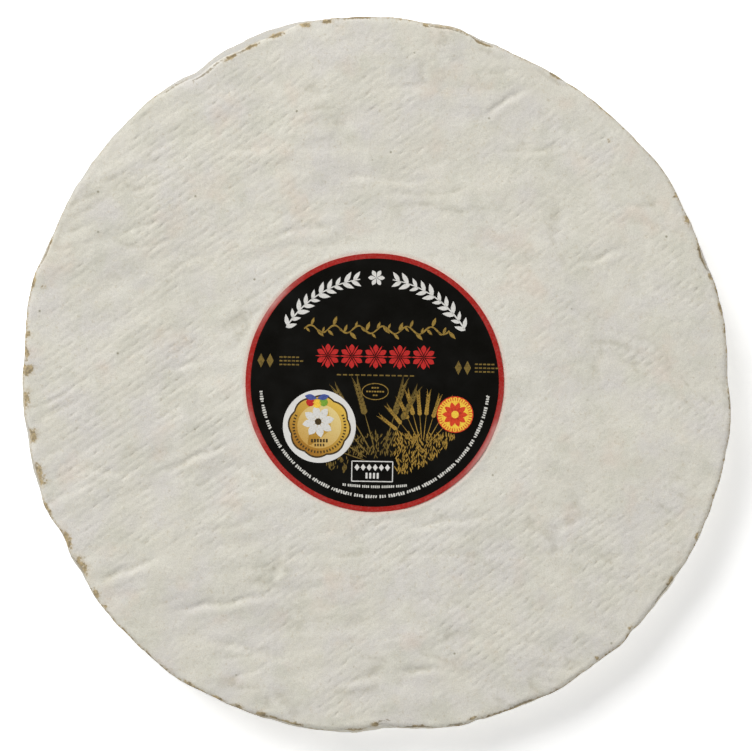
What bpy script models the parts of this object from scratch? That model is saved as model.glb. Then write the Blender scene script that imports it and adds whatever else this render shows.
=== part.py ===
"""A whole wheel of soft cheese with a white mould rind, a round paper label and a round sticker.

The wheel lies flat. The origin is the middle of its bounding box, on the surface that it rests on.
+Z is up and +Y points to the top of the label. Every size is in metres, and every angle in degrees
counter-clockwise from +X, seen from above.
"""

import math

import bmesh
import bpy
from mathutils import Vector, noise
from mathutils.geometry import delaunay_2d_cdt

MM = 0.001

# The wheel's outline: a circle with broad lobes, and local swells and dents along its edge
WHEEL_RADIUS = 182.5 * MM
WHEEL_HEIGHT = 28.0 * MM
# Each lobe is (lobes round the wheel, swell, direction of the first one)
LOBES = (
    (1, 2.0 * MM, -100),
    (2, 1.7 * MM, -67),
    (3, 1.3 * MM, -25),
)
# Each swell is (direction, height, half width in degrees), and a dent has a negative height
EDGE_SWELLS = (
    (0, -1.7 * MM, 5),
    (36, 1.9 * MM, 6),
    (66, -2.1 * MM, 7),
    (78, 1.2 * MM, 2.5),
    (105, 1.6 * MM, 7),
    (121, -1.9 * MM, 4),
    (165, 1.8 * MM, 5),
    (177, -1.0 * MM, 3),
    (207, -3.0 * MM, 3),
    (214, -1.5 * MM, 3),
    (236, 1.6 * MM, 6),
    (251, 1.1 * MM, 8),
    (273, -3.2 * MM, 5),
    (300, 1.2 * MM, 4),
    (312, 0.8 * MM, 2.5),
    (352, 0.8 * MM, 3),
)
CHIP_DEPTH = 0.45 * MM
CHIP_LENGTH = 9.0 * MM

# The edge of the top crust: a lip that stands back from the widest line, more in some stretches
LIP_INSET = 0.6 * MM
# Each stretch is (direction, extra inset, half width in degrees)
LIP_STRETCHES = (
    (19.5, 1.9 * MM, 2.4),
    (57, 1.0 * MM, 3),
    (72.5, 2.0 * MM, 2.2),
    (79, 1.9 * MM, 4),
    (107, 3.2 * MM, 5),
    (114, 2.7 * MM, 4.5),
    (121.5, 2.3 * MM, 4),
    (159, 0.8 * MM, 3),
    (184, 1.4 * MM, 2.2),
    (190, 2.2 * MM, 2.2),
    (196.5, 2.1 * MM, 2.6),
    (213, 2.0 * MM, 2.6),
    (254, 1.8 * MM, 5),
    (266, 2.0 * MM, 2.8),
    (270.5, 2.6 * MM, 2.4),
    (277, 1.2 * MM, 3),
    (292, 1.0 * MM, 7),
    (323, 1.3 * MM, 4),
)
LIP_THICKNESS = 1.5 * MM
LIP_ROUNDING = 2.2 * MM
CRACK_DEPTH = 0.6 * MM
CRACK_WIDTH = 1.3 * MM

# The side wall: it bulges low down and turns in to a rounded foot
BULGE_HEIGHT = 11.0 * MM
FOOT_INSET = 5.5 * MM
WALL_SWELL = 0.9 * MM
WALL_SWELL_LENGTH = 26.0 * MM
WALL_RING_HEIGHTS = (0.5 * MM, 1.8 * MM, 4.2 * MM, 7.5 * MM, 11.0 * MM, 15.5 * MM, 20.0 * MM)

# The top: a shallow dish with broad hollows and the ridges that a draining mat pressed into it
DISH_DEPTH = 0.8 * MM
BROAD_SWELL = 1.2 * MM
BROAD_SWELL_LENGTH = 85.0 * MM
SMALL_SWELL = 0.7 * MM
SMALL_SWELL_LENGTH = 32.0 * MM
RIDGE_DIRECTION = 34.5
RIDGE_PITCH = 3.75 * MM
RIDGE_DEPTH = 0.55 * MM
RIDGE_PATCH_LENGTH = 40.0 * MM
MEANDER = 1.5 * MM
MEANDER_LENGTH = 70.0 * MM
POINTS_ALONG_RIDGE = 20.0 * MM
RIM_BAND = 6.5 * MM

# The paper label, a little below the wheel's middle, and the sticker on its lower left
LABEL_RADIUS = 65.9 * MM
LABEL_CENTRE = (-0.9 * MM, -4.05 * MM)
LABEL_THICKNESS = 0.3 * MM
STICKER_RADIUS = 18.6 * MM
STICKER_CENTRE = (-29.1 * MM, -26.3 * MM)
STICKER_THICKNESS = 0.3 * MM
PAPER_GAP = 0.35 * MM
SWELL_UNDER_LABEL = 0.3
LABEL_FADE = 14.0 * MM

OUTLINE_SEGMENTS = 160
LABEL_SEGMENTS = 52
LABEL_RINGS = 4
STICKER_SEGMENTS = 30
STICKER_RINGS = 2

# Offsets that make each noise differ from the others
BROAD_SEED, SMALL_SEED, PATCH_SEED, MEANDER_SEED, WALL_SEED, CHIP_SEED = 3.7, 11.3, 23.1, 31.9, 47.3, 59.7

RIND_COLOUR = (0.64, 0.61, 0.54)
LABEL_COLOUR = (0.012, 0.011, 0.010)
STICKER_COLOUR = (0.80, 0.78, 0.74)


def noise_at(x, y, z, length, seed):
    """Smooth noise from about -1 to 1 whose bumps are about that length."""
    return noise.noise(Vector((x / length + seed, y / length - seed, z / length + seed)))


def smooth_step(value):
    """0 below 0, 1 above 1, and a smooth rise between them."""
    value = min(1.0, max(0.0, value))
    return value * value * (3 - 2 * value)


def bell(direction, centre, half_width):
    """1 at the centre direction, falling smoothly away to both sides of it."""
    apart = (direction - centre + 180) % 360 - 180
    return math.exp(-((apart / half_width) ** 2))


def outline_radius(direction):
    """How far the wheel's widest line lies from its axis in that direction."""
    radius = WHEEL_RADIUS
    for count, swell, first in LOBES:
        radius += swell * math.cos(math.radians(count * (direction - first)))
    for centre, swell, half_width in EDGE_SWELLS:
        radius += swell * bell(direction, centre, half_width)
    x = WHEEL_RADIUS * math.cos(math.radians(direction))
    y = WHEEL_RADIUS * math.sin(math.radians(direction))
    return radius + CHIP_DEPTH * noise_at(x, y, 0, CHIP_LENGTH, CHIP_SEED)


def lip_inset(direction):
    """How far the top crust's edge stands back from the widest line."""
    return LIP_INSET + sum(extra * bell(direction, centre, width) for centre, extra, width in LIP_STRETCHES)


def label_cover(x, y):
    """1 under the label, falling to 0 a little way outside it."""
    away = math.hypot(x - LABEL_CENTRE[0], y - LABEL_CENTRE[1]) - LABEL_RADIUS
    return 1 - smooth_step(away / LABEL_FADE)


def top_height(x, y):
    """Height of the top without its ridges."""
    dish = DISH_DEPTH * (1 - min(1.0, math.hypot(x, y) / WHEEL_RADIUS) ** 2)
    swell = BROAD_SWELL * noise_at(x, y, 0, BROAD_SWELL_LENGTH, BROAD_SEED)
    swell += SMALL_SWELL * noise_at(x, y, 0, SMALL_SWELL_LENGTH, SMALL_SEED)
    return WHEEL_HEIGHT - dish + swell * (1 - (1 - SWELL_UNDER_LABEL) * label_cover(x, y))


def ridge_strength(x, y):
    """From 0 where the mat left no mark to 1 where it pressed deepest."""
    patch = noise_at(x, y, 0, RIDGE_PATCH_LENGTH, PATCH_SEED)
    return smooth_step(0.6 + 1.3 * patch) * (1 - label_cover(x, y))


def meander(across, along):
    """How far a ridge strays sideways from its straight line."""
    return MEANDER * noise_at(across, along, 0, MEANDER_LENGTH, MEANDER_SEED)


def ring(radius_at, height_at):
    """The points of one ring round the wheel, from a radius and a height for each direction."""
    points = []
    for step in range(OUTLINE_SEGMENTS):
        direction = 360 * step / OUTLINE_SEGMENTS
        radius = radius_at(direction)
        x = radius * math.cos(math.radians(direction))
        y = radius * math.sin(math.radians(direction))
        points.append(Vector((x, y, height_at(x, y, direction))))
    return points


def ridge_points(edge):
    """Points on the crests and in the grooves of the ridges, as far out as the ring called edge."""
    along_way = Vector((math.cos(math.radians(RIDGE_DIRECTION)), math.sin(math.radians(RIDGE_DIRECTION))))
    across_way = Vector((-along_way.y, along_way.x))
    row_step = RIDGE_PITCH / 2
    rows = int(WHEEL_RADIUS / row_step)
    columns = int(WHEEL_RADIUS / POINTS_ALONG_RIDGE) + 1
    points = []
    for row in range(-rows, rows + 1):
        for column in range(-columns, columns + 1):
            across, along = row * row_step, column * POINTS_ALONG_RIDGE
            place = across_way * (across - meander(across, along)) + along_way * along
            direction = math.degrees(math.atan2(place.y, place.x))
            room = edge(direction) - row_step - place.length
            if room <= 0:
                continue
            # The smooth top under the label needs fewer points
            if label_cover(place.x, place.y) == 1 and row % 4:
                continue
            side = 1 if row % 2 == 0 else -1
            depth = side * RIDGE_DEPTH / 2 * ridge_strength(place.x, place.y)
            points.append(Vector((place.x, place.y, top_height(place.x, place.y) + depth)))
    return points


def squashed(point):
    """The point seen in a plane squashed along the ridges, where their long facets are about square."""
    turn = math.radians(RIDGE_DIRECTION)
    along = point.x * math.cos(turn) + point.y * math.sin(turn)
    across = point.y * math.cos(turn) - point.x * math.sin(turn)
    # The triangulation works best on numbers near 1
    return Vector((along / POINTS_ALONG_RIDGE, across / (RIDGE_PITCH / 2)))


def build_wheel():
    """The wheel's mesh: ridged top, lip, crack, bulging wall, foot and flat base."""

    def inset_of(extra):
        return lambda direction: outline_radius(direction) - lip_inset(direction) - extra

    def below_top(drop):
        return lambda x, y, direction: top_height(x, y) - drop

    def wall_radius(height):
        def radius_at(direction):
            if height > BULGE_HEIGHT:
                rise = (height - BULGE_HEIGHT) / (WHEEL_HEIGHT - BULGE_HEIGHT)
                inset = lip_inset(direction) * smooth_step(rise)
            else:
                drop = 1 - height / BULGE_HEIGHT
                inset = FOOT_INSET * (1 - math.sqrt(1 - drop**4))
            radius = outline_radius(direction) - inset
            x = radius * math.cos(math.radians(direction))
            y = radius * math.sin(math.radians(direction))
            # The noise is held to dents, so that the widest line stays the outline
            return radius + WALL_SWELL * min(0.0, noise_at(x, y, height, WALL_SWELL_LENGTH, WALL_SEED))

        return radius_at

    edge = inset_of(RIM_BAND)
    rings = [
        ring(edge, below_top(0)),
        ring(inset_of(LIP_ROUNDING), below_top(0.1 * LIP_ROUNDING)),
        ring(inset_of(0), below_top(LIP_THICKNESS * 0.6)),
        ring(inset_of(0.2 * CRACK_DEPTH), below_top(LIP_THICKNESS)),
        ring(inset_of(CRACK_DEPTH), below_top(LIP_THICKNESS + CRACK_WIDTH / 2)),
        ring(inset_of(0), below_top(LIP_THICKNESS + CRACK_WIDTH)),
    ]
    rings += [ring(wall_radius(z), lambda x, y, direction, z=z: z) for z in reversed(WALL_RING_HEIGHTS)]
    rings.append(ring(lambda direction: outline_radius(direction) - FOOT_INSET, lambda x, y, direction: 0.0))

    inner = ridge_points(edge)
    top_points = rings[0] + inner
    outline_loop = list(range(OUTLINE_SEGMENTS))
    found = delaunay_2d_cdt([squashed(p) for p in top_points], [], [outline_loop], 1, 1e-6)
    top_faces, sources = found[2], found[3]

    mesh = bmesh.new()
    made_rings = [[mesh.verts.new(p) for p in points] for points in rings]
    made_top = made_rings[0] + [mesh.verts.new(p) for p in inner]
    for face in top_faces:
        mesh.faces.new([made_top[sources[corner][0]] for corner in face])
    for upper, lower in zip(made_rings, made_rings[1:]):
        for step in range(OUTLINE_SEGMENTS):
            after = (step + 1) % OUTLINE_SEGMENTS
            mesh.faces.new((upper[step], upper[after], lower[after], lower[step]))
    mesh.faces.new(made_rings[-1])
    bmesh.ops.recalc_face_normals(mesh, faces=mesh.faces)
    return mesh


def build_disc(centre, radius, thickness, rise, segments, rings):
    """A thin paper disc that follows the top, its underside that rise above it."""
    mesh = bmesh.new()
    faces = []
    for lift in (rise, rise + thickness):
        layers = [[mesh.verts.new((*centre, top_height(*centre) + lift))]]
        for index in range(1, rings + 1):
            layer = []
            for step in range(segments):
                turn = 2 * math.pi * step / segments
                x = centre[0] + radius * index / rings * math.cos(turn)
                y = centre[1] + radius * index / rings * math.sin(turn)
                layer.append(mesh.verts.new((x, y, top_height(x, y) + lift)))
            layers.append(layer)
        faces.append(layers)
    for layers in faces:
        for step in range(segments):
            after = (step + 1) % segments
            mesh.faces.new((layers[0][0], layers[1][step], layers[1][after]))
            for inner, outer in zip(layers[1:], layers[2:]):
                # Both faces are split into triangles alike, so that the paper is as thick everywhere
                mesh.faces.new((inner[step], outer[step], outer[after]))
                mesh.faces.new((inner[step], outer[after], inner[after]))
    under, upper = faces[0][-1], faces[1][-1]
    for step in range(segments):
        after = (step + 1) % segments
        mesh.faces.new((under[step], under[after], upper[after], upper[step]))
    bmesh.ops.recalc_face_normals(mesh, faces=mesh.faces)
    return mesh


def material(name, colour, roughness):
    """A Principled material with that colour and roughness."""
    made = bpy.data.materials.new(name)
    made.use_nodes = True
    shader = made.node_tree.nodes["Principled BSDF"]
    shader.inputs["Base Color"].default_value = (*colour, 1)
    shader.inputs["Roughness"].default_value = roughness
    shader.inputs["Metallic"].default_value = 0.0
    return made


def add_object(name, shape, finish):
    """Puts a finished shape into the scene as a named object."""
    mesh = bpy.data.meshes.new(name)
    shape.to_mesh(mesh)
    shape.free()
    mesh.shade_smooth()
    mesh.set_sharp_from_angle(angle=math.radians(40))
    mesh.materials.append(finish)
    made = bpy.data.objects.new(name, mesh)
    bpy.context.scene.collection.objects.link(made)
    return made


def centre_on_origin(objects, guide):
    """Moves the objects so that the middle of the guide's bounding box is over the origin."""
    for axis in (0, 1):
        values = [vertex.co[axis] for vertex in guide.data.vertices]
        middle = (min(values) + max(values)) / 2
        for item in objects:
            item.location[axis] -= middle


def main():
    for item in list(bpy.data.objects):
        bpy.data.objects.remove(item)
    wheel = add_object("brie_wheel", build_wheel(), material("white mould rind", RIND_COLOUR, 0.9))
    label_shape = build_disc(
        LABEL_CENTRE, LABEL_RADIUS, LABEL_THICKNESS, PAPER_GAP, LABEL_SEGMENTS, LABEL_RINGS
    )
    label = add_object("paper_label", label_shape, material("black label paper", LABEL_COLOUR, 0.4))
    sticker_rise = PAPER_GAP + LABEL_THICKNESS + PAPER_GAP
    sticker_shape = build_disc(
        STICKER_CENTRE, STICKER_RADIUS, STICKER_THICKNESS, sticker_rise, STICKER_SEGMENTS, STICKER_RINGS
    )
    sticker = add_object("round_sticker", sticker_shape, material("white sticker paper", STICKER_COLOUR, 0.4))
    centre_on_origin((wheel, label, sticker), wheel)


main()
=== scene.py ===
"""Dresses the brie wheel: its mould rind, the draining mat's marks, the printed label and the sticker.

Lengths are in metres, in the same frame as the solids: the origin is under the wheel's middle, +Z is up
and +Y points to the top of the label. Directions are in degrees, counter-clockwise from +X, seen from
above. The wheel's form is worked out here with the same named sizes as in the solids.
"""

import logging
import math
import random
from collections.abc import Callable, Iterable, Sequence
from dataclasses import dataclass
from enum import Enum
from functools import cache, partial

import bmesh
import bpy
from mathutils import Matrix, Vector, noise


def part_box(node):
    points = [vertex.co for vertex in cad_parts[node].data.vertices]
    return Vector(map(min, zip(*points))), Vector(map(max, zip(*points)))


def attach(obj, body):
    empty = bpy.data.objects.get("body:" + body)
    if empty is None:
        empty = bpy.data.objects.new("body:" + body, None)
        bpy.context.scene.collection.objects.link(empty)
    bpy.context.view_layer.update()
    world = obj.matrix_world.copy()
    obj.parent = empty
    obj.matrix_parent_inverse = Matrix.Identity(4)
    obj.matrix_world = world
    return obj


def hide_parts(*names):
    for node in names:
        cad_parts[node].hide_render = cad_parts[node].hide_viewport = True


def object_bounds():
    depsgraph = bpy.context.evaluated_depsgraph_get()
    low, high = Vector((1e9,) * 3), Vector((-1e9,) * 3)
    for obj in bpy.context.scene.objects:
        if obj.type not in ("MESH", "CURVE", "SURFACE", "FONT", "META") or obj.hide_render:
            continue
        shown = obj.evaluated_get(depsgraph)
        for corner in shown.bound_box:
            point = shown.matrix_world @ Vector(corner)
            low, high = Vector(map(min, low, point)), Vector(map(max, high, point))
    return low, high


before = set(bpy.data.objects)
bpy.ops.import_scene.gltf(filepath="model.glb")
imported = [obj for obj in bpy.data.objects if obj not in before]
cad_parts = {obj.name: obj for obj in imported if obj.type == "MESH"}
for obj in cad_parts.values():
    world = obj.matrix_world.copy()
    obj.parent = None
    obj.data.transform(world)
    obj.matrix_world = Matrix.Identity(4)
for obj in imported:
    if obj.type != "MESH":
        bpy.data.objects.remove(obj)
CAD_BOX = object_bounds()

log = logging.getLogger("brie_wheel")

MM = 0.001
BODY = "root"

Point = tuple[float, float]
Socket = bpy.types.NodeSocket
Adder = Callable[..., Socket]
# A place on the skin, how deep its groove is, and how far off the groove and how creased it is
Spot = tuple[Vector, float, Vector]


def smooth_step(value: float) -> float:
    """Returns 0 for a value up to 0 and 1 for one from 1 on, and rises smoothly between them."""
    value = min(1.0, max(0.0, value))
    return value * value * (3 - 2 * value)


def peak(value: float) -> float:
    """Returns 1 for a value of 0, falling smoothly to about a third at 1 and at -1."""
    return math.exp(-(value**2))


def turn_from(centre: float, direction: float) -> float:
    """Returns how far a direction is turned from another, -180 to 180."""
    return (direction - centre + 180) % 360 - 180


def bell(direction: float, centre: float, half_width: float) -> float:
    """Returns 1 at the centre's direction, falling to about a third at the half width."""
    return peak(turn_from(centre, direction) / half_width)


def sum_bells(rows: Iterable[tuple[float, float, float]], direction: float) -> float:
    """Adds up bells.

    Args:
        rows: each bell's direction, height in millimetres and half width in degrees.
        direction: the direction asked for.

    Returns:
        Their sum in metres.
    """
    return MM * sum(height * bell(direction, centre, half_width) for centre, height, half_width in rows)


def noise_at(x: float, y: float, z: float, length: float, seed: float) -> float:
    """Reads smooth noise whose bumps are about a given length.

    Args:
        x, y, z: the place.
        length: how long a bump is.
        seed: an offset that makes this noise differ from the others.

    Returns:
        About -1 to 1.
    """
    return noise.noise(Vector((x / length + seed, y / length - seed, z / length + seed)))


def polar(radius: float, direction: float) -> Point:
    """Returns the point at that distance and direction from the axis."""
    return radius * math.cos(math.radians(direction)), radius * math.sin(math.radians(direction))


def along_and_across(x: float, y: float, direction: float) -> Point:
    """Returns how far a place lies along a direction, and how far to the left of it."""
    turn = math.radians(direction)
    return x * math.cos(turn) + y * math.sin(turn), y * math.cos(turn) - x * math.sin(turn)


def linear(colour: str) -> tuple[float, float, float, float]:
    """Turns a colour linear.

    Args:
        colour: sRGB, as six hex digits.

    Returns:
        Linear red, green, blue and an alpha of 1.
    """
    parts = [int(colour[index : index + 2], 16) / 255 for index in (0, 2, 4)]
    made = [part / 12.92 if part <= 0.04045 else ((part + 0.055) / 1.055) ** 2.4 for part in parts]
    return (made[0], made[1], made[2], 1.0)


def fill_inputs(node: bpy.types.Node, inputs: dict[str | int, object] | Sequence[object]) -> None:
    """Sets or links a node's inputs.

    Args:
        node: the node.
        inputs: a value, or another node's output, for each input by its name or number, or in order.
    """
    for name, value in inputs.items() if isinstance(inputs, dict) else enumerate(inputs):
        if isinstance(value, Socket):
            node.id_data.links.new(value, node.inputs[name])
        else:
            node.inputs[name].default_value = value


def add_node(
    tree: bpy.types.NodeTree,
    kind: str,
    inputs: dict[str | int, object] | Sequence[object] = (),
    output: str | int = 0,
    **settings: object,
) -> Socket:
    """Adds a node with its settings and links.

    Args:
        tree: the node tree that gets it.
        kind: the node's type, without the words in front that all types share.
        inputs: its inputs' values and links.
        output: which output to return.
        settings: the node's own properties.

    Returns:
        The node's output.
    """
    node = tree.nodes.new("ShaderNode" + kind)
    for name, value in settings.items():
        setattr(node, name, value)
    fill_inputs(node, inputs)
    return node.outputs[output]


def start_material(name: str) -> tuple[bpy.types.Material, Adder, bpy.types.Node]:
    """Starts a material with one Principled shader.

    Args:
        name: the material's name.

    Returns:
        The material, what adds its nodes, and the shader.
    """
    made = bpy.data.materials.new(name)
    made.use_nodes = True
    return made, partial(add_node, made.node_tree), made.node_tree.nodes["Principled BSDF"]


def noise_mask(
    add: Adder,
    where: Socket,
    size: float,
    detail: float,
    band: Point,
    top: float = 1.0,
    seed: float = 0.0,
) -> Socket:
    """Adds a noise and stretches a band of it.

    Args:
        add: adds a node.
        where: the coordinates.
        size: how large a bump is.
        detail: how many finer layers it has.
        band: the noise's values that become 0 and the top value.
        top: the highest value.
        seed: tells this noise from the others.

    Returns:
        The mask, 0 to the top value.
    """
    inputs = {"Vector": where, "W": seed, "Scale": 1 / size, "Detail": detail}
    return add("MapRange", (add("TexNoise", inputs, noise_dimensions="4D"), *band, 0.0, top))


def lay_over(add: Adder, colour: object, layers: Iterable[tuple[Socket, object]]) -> Socket:
    """Lays tints over a colour.

    Args:
        add: adds a node.
        colour: the lowest colour, as hex digits or an output.
        layers: each tint's share, and the tint as hex digits or an output, from the lowest up.

    Returns:
        The mixed colour.
    """
    colour = linear(colour) if isinstance(colour, str) else colour
    for share, tint in layers:
        tint = linear(tint) if isinstance(tint, str) else tint
        colour = add("Mix", {0: share, 6: colour, 7: tint}, 2, data_type="RGBA")
    return colour


def add_layer(item: bpy.types.Object, name: str, values: Sequence[float], kind: str = "FLOAT") -> None:
    """Writes a value, or a vector's three parts, for each vertex into a named attribute."""
    layer = item.data.attributes.new(name, kind, "POINT")
    layer.data.foreach_set("value" if kind == "FLOAT" else "vector", values)


def pick(*objects: bpy.types.Object) -> None:
    """Leaves object mode, and selects the objects alone, the first one active; none, if none is given."""
    if bpy.context.object and bpy.context.object.mode != "OBJECT":
        bpy.ops.object.mode_set(mode="OBJECT")
    bpy.ops.object.select_all(action="DESELECT")
    for item in objects:
        item.select_set(True)
    if objects:
        bpy.context.view_layer.objects.active = objects[0]


def edit_all() -> None:
    """Goes into edit mode with the whole mesh selected."""
    bpy.ops.object.mode_set(mode="EDIT")
    bpy.ops.mesh.select_all(action="SELECT")


def face_outwards() -> None:
    """Turns the edited mesh's faces outwards and goes back to object mode."""
    bpy.ops.mesh.select_all(action="SELECT")
    bpy.ops.mesh.normals_make_consistent(inside=False)
    bpy.ops.object.mode_set(mode="OBJECT")


def select_boundary(wires: bool) -> None:
    """Selects the edited mesh's open edges, and its wires where asked, alone."""
    bpy.ops.mesh.select_all(action="DESELECT")
    bpy.ops.mesh.select_non_manifold(
        use_wire=wires, use_boundary=True, use_multi_face=False, use_non_contiguous=False, use_verts=False
    )


def grow_rings(radii: Sequence[float]) -> None:
    """Extrudes the selected loop outwards, from the first radius through each of the others."""
    for inner, outer in zip(radii, radii[1:]):
        bpy.ops.mesh.extrude_edges_move()
        bpy.ops.transform.resize(value=(outer / inner, outer / inner, 1), center_override=(0, 0, 0))


class Seed(float, Enum):
    """Offsets that make each noise differ from the others. The first six are the solids' own."""

    BROAD = 3.7
    SMALL = 11.3
    PATCH = 23.1
    MEANDER = 31.9
    WALL = 47.3
    CHIP = 59.7
    DASH = 67.1
    SHIFT = 71.9
    LUMP = 83.3
    WRINKLE = 97.7
    CRUMB = 103.9
    PAPER = 109.1
    BASE = 127.3
    CREASE = 139.7


@dataclass(frozen=True)
class WheelForm:
    """The wheel's outline, lip, top and mat ridges, by the sizes that the solids have.

    Each lobe is (lobes round the wheel, swell in mm, direction of the first one). Each edge swell, notch
    and lip stretch is (direction, size in mm, half width in degrees).
    """

    radius: float = 182.5 * MM
    height: float = 28.0 * MM
    lobes: tuple = ((1, 2.0, -100), (2, 1.7, -67), (3, 1.3, -25))
    # fmt: off
    edge_swells: tuple = (
        (0, -1.7, 5), (36, 1.9, 6), (66, -2.1, 7), (78, 1.2, 2.5), (105, 1.6, 7), (121, -1.9, 4),
        (165, 1.8, 5), (177, -1.0, 3), (207, -3.0, 3), (214, -1.5, 3), (236, 1.6, 6), (251, 1.1, 8),
        (273, -3.2, 5), (300, 1.2, 4), (312, 0.8, 2.5), (352, 0.8, 3),
    )
    notches: tuple = ((190, 0.4, 2.0), (286.3, 0.7, 1.1), (314.9, 0.9, 0.9), (321, 0.4, 1.2))
    lip_stretches: tuple = (
        (19.5, 1.9, 2.4), (57, 1.0, 3), (72.5, 2.0, 2.2), (79, 1.9, 4), (107, 3.2, 5), (114, 2.7, 4.5),
        (121.5, 2.3, 4), (159, 0.8, 3), (184, 1.4, 2.2), (190, 2.2, 2.2), (196.5, 2.1, 2.6),
        (213, 2.0, 2.6), (254, 1.8, 5), (266, 2.0, 2.8), (270.5, 2.6, 2.4), (277, 1.2, 3), (292, 1.0, 7),
        (323, 1.3, 4),
    )
    # fmt: on
    chip_depth: float = 0.45 * MM
    chip_length: float = 9.0 * MM
    crumb_depth: float = 0.45 * MM
    crumb_length: float = 4.0 * MM
    skin: float = 0.1 * MM
    lip_inset: float = 0.6 * MM
    bulge_height: float = 11.0 * MM
    foot_inset: float = 5.5 * MM
    dish_depth: float = 0.8 * MM
    broad_swell: float = 1.2 * MM
    broad_length: float = 85.0 * MM
    small_swell: float = 0.7 * MM
    small_length: float = 32.0 * MM
    swell_under_label: float = 0.3
    label_fade: float = 14.0 * MM
    label_radius: float = 65.9 * MM
    label_centre: Point = (-0.9 * MM, -4.05 * MM)
    ridge_direction: float = 34.5
    ridge_pitch: float = 3.75 * MM
    ridge_depth: float = 0.55 * MM

    def outline(self, direction: float) -> float:
        """Returns how far the widest line lies from the axis in that direction."""
        radius = self.radius + sum_bells(self.edge_swells, direction)
        for count, swell, first in self.lobes:
            radius += swell * MM * math.cos(math.radians(count * (direction - first)))
        x, y = polar(self.radius, direction)
        radius += self.chip_depth * noise_at(x, y, 0, self.chip_length, Seed.CHIP)
        # Notches and small crumbs only take away, so that the rind stays inside the solid
        crumb = self.crumb_depth * max(0.0, noise_at(x, y, 0, self.crumb_length, Seed.CRUMB))
        return radius - sum_bells(self.notches, direction) - self.skin - crumb

    def lip(self, direction: float) -> float:
        """Returns how far the top crust's edge stands back from the outline."""
        return self.lip_inset + sum_bells(self.lip_stretches, direction)

    def label_cover(self, x: float, y: float, fade: float) -> float:
        """Gives the label's cover.

        Args:
            x, y: the place.
            fade: over what distance outside the label it falls to 0.

        Returns:
            1 under the label, falling to 0 outside it.
        """
        away = math.hypot(x - self.label_centre[0], y - self.label_centre[1]) - self.label_radius
        return 1 - smooth_step(away / fade)

    def top(self, x: float, y: float) -> float:
        """Returns the height of the top there, without its ridges."""
        dish = self.dish_depth * (1 - min(1.0, math.hypot(x, y) / self.radius) ** 2)
        swell = self.broad_swell * noise_at(x, y, 0, self.broad_length, Seed.BROAD)
        swell += self.small_swell * noise_at(x, y, 0, self.small_length, Seed.SMALL)
        cover = self.label_cover(x, y, self.label_fade)
        return self.height - dish + swell * (1 - (1 - self.swell_under_label) * cover)

    def wall_inset(self, direction: float, height: float) -> float:
        """Works out the wall's shape, which bulges low down and turns in to a rounded foot.

        Args:
            direction: which way round the wheel.
            height: the height above the base.

        Returns:
            How far the wall stands back from the outline.
        """
        if height > self.bulge_height:
            rise = (height - self.bulge_height) / (self.height - self.bulge_height)
            return self.lip(direction) * smooth_step(rise)
        drop = 1 - max(0.0, height) / self.bulge_height
        return self.foot_inset * (1 - math.sqrt(max(0.0, 1 - drop**4)))


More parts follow.
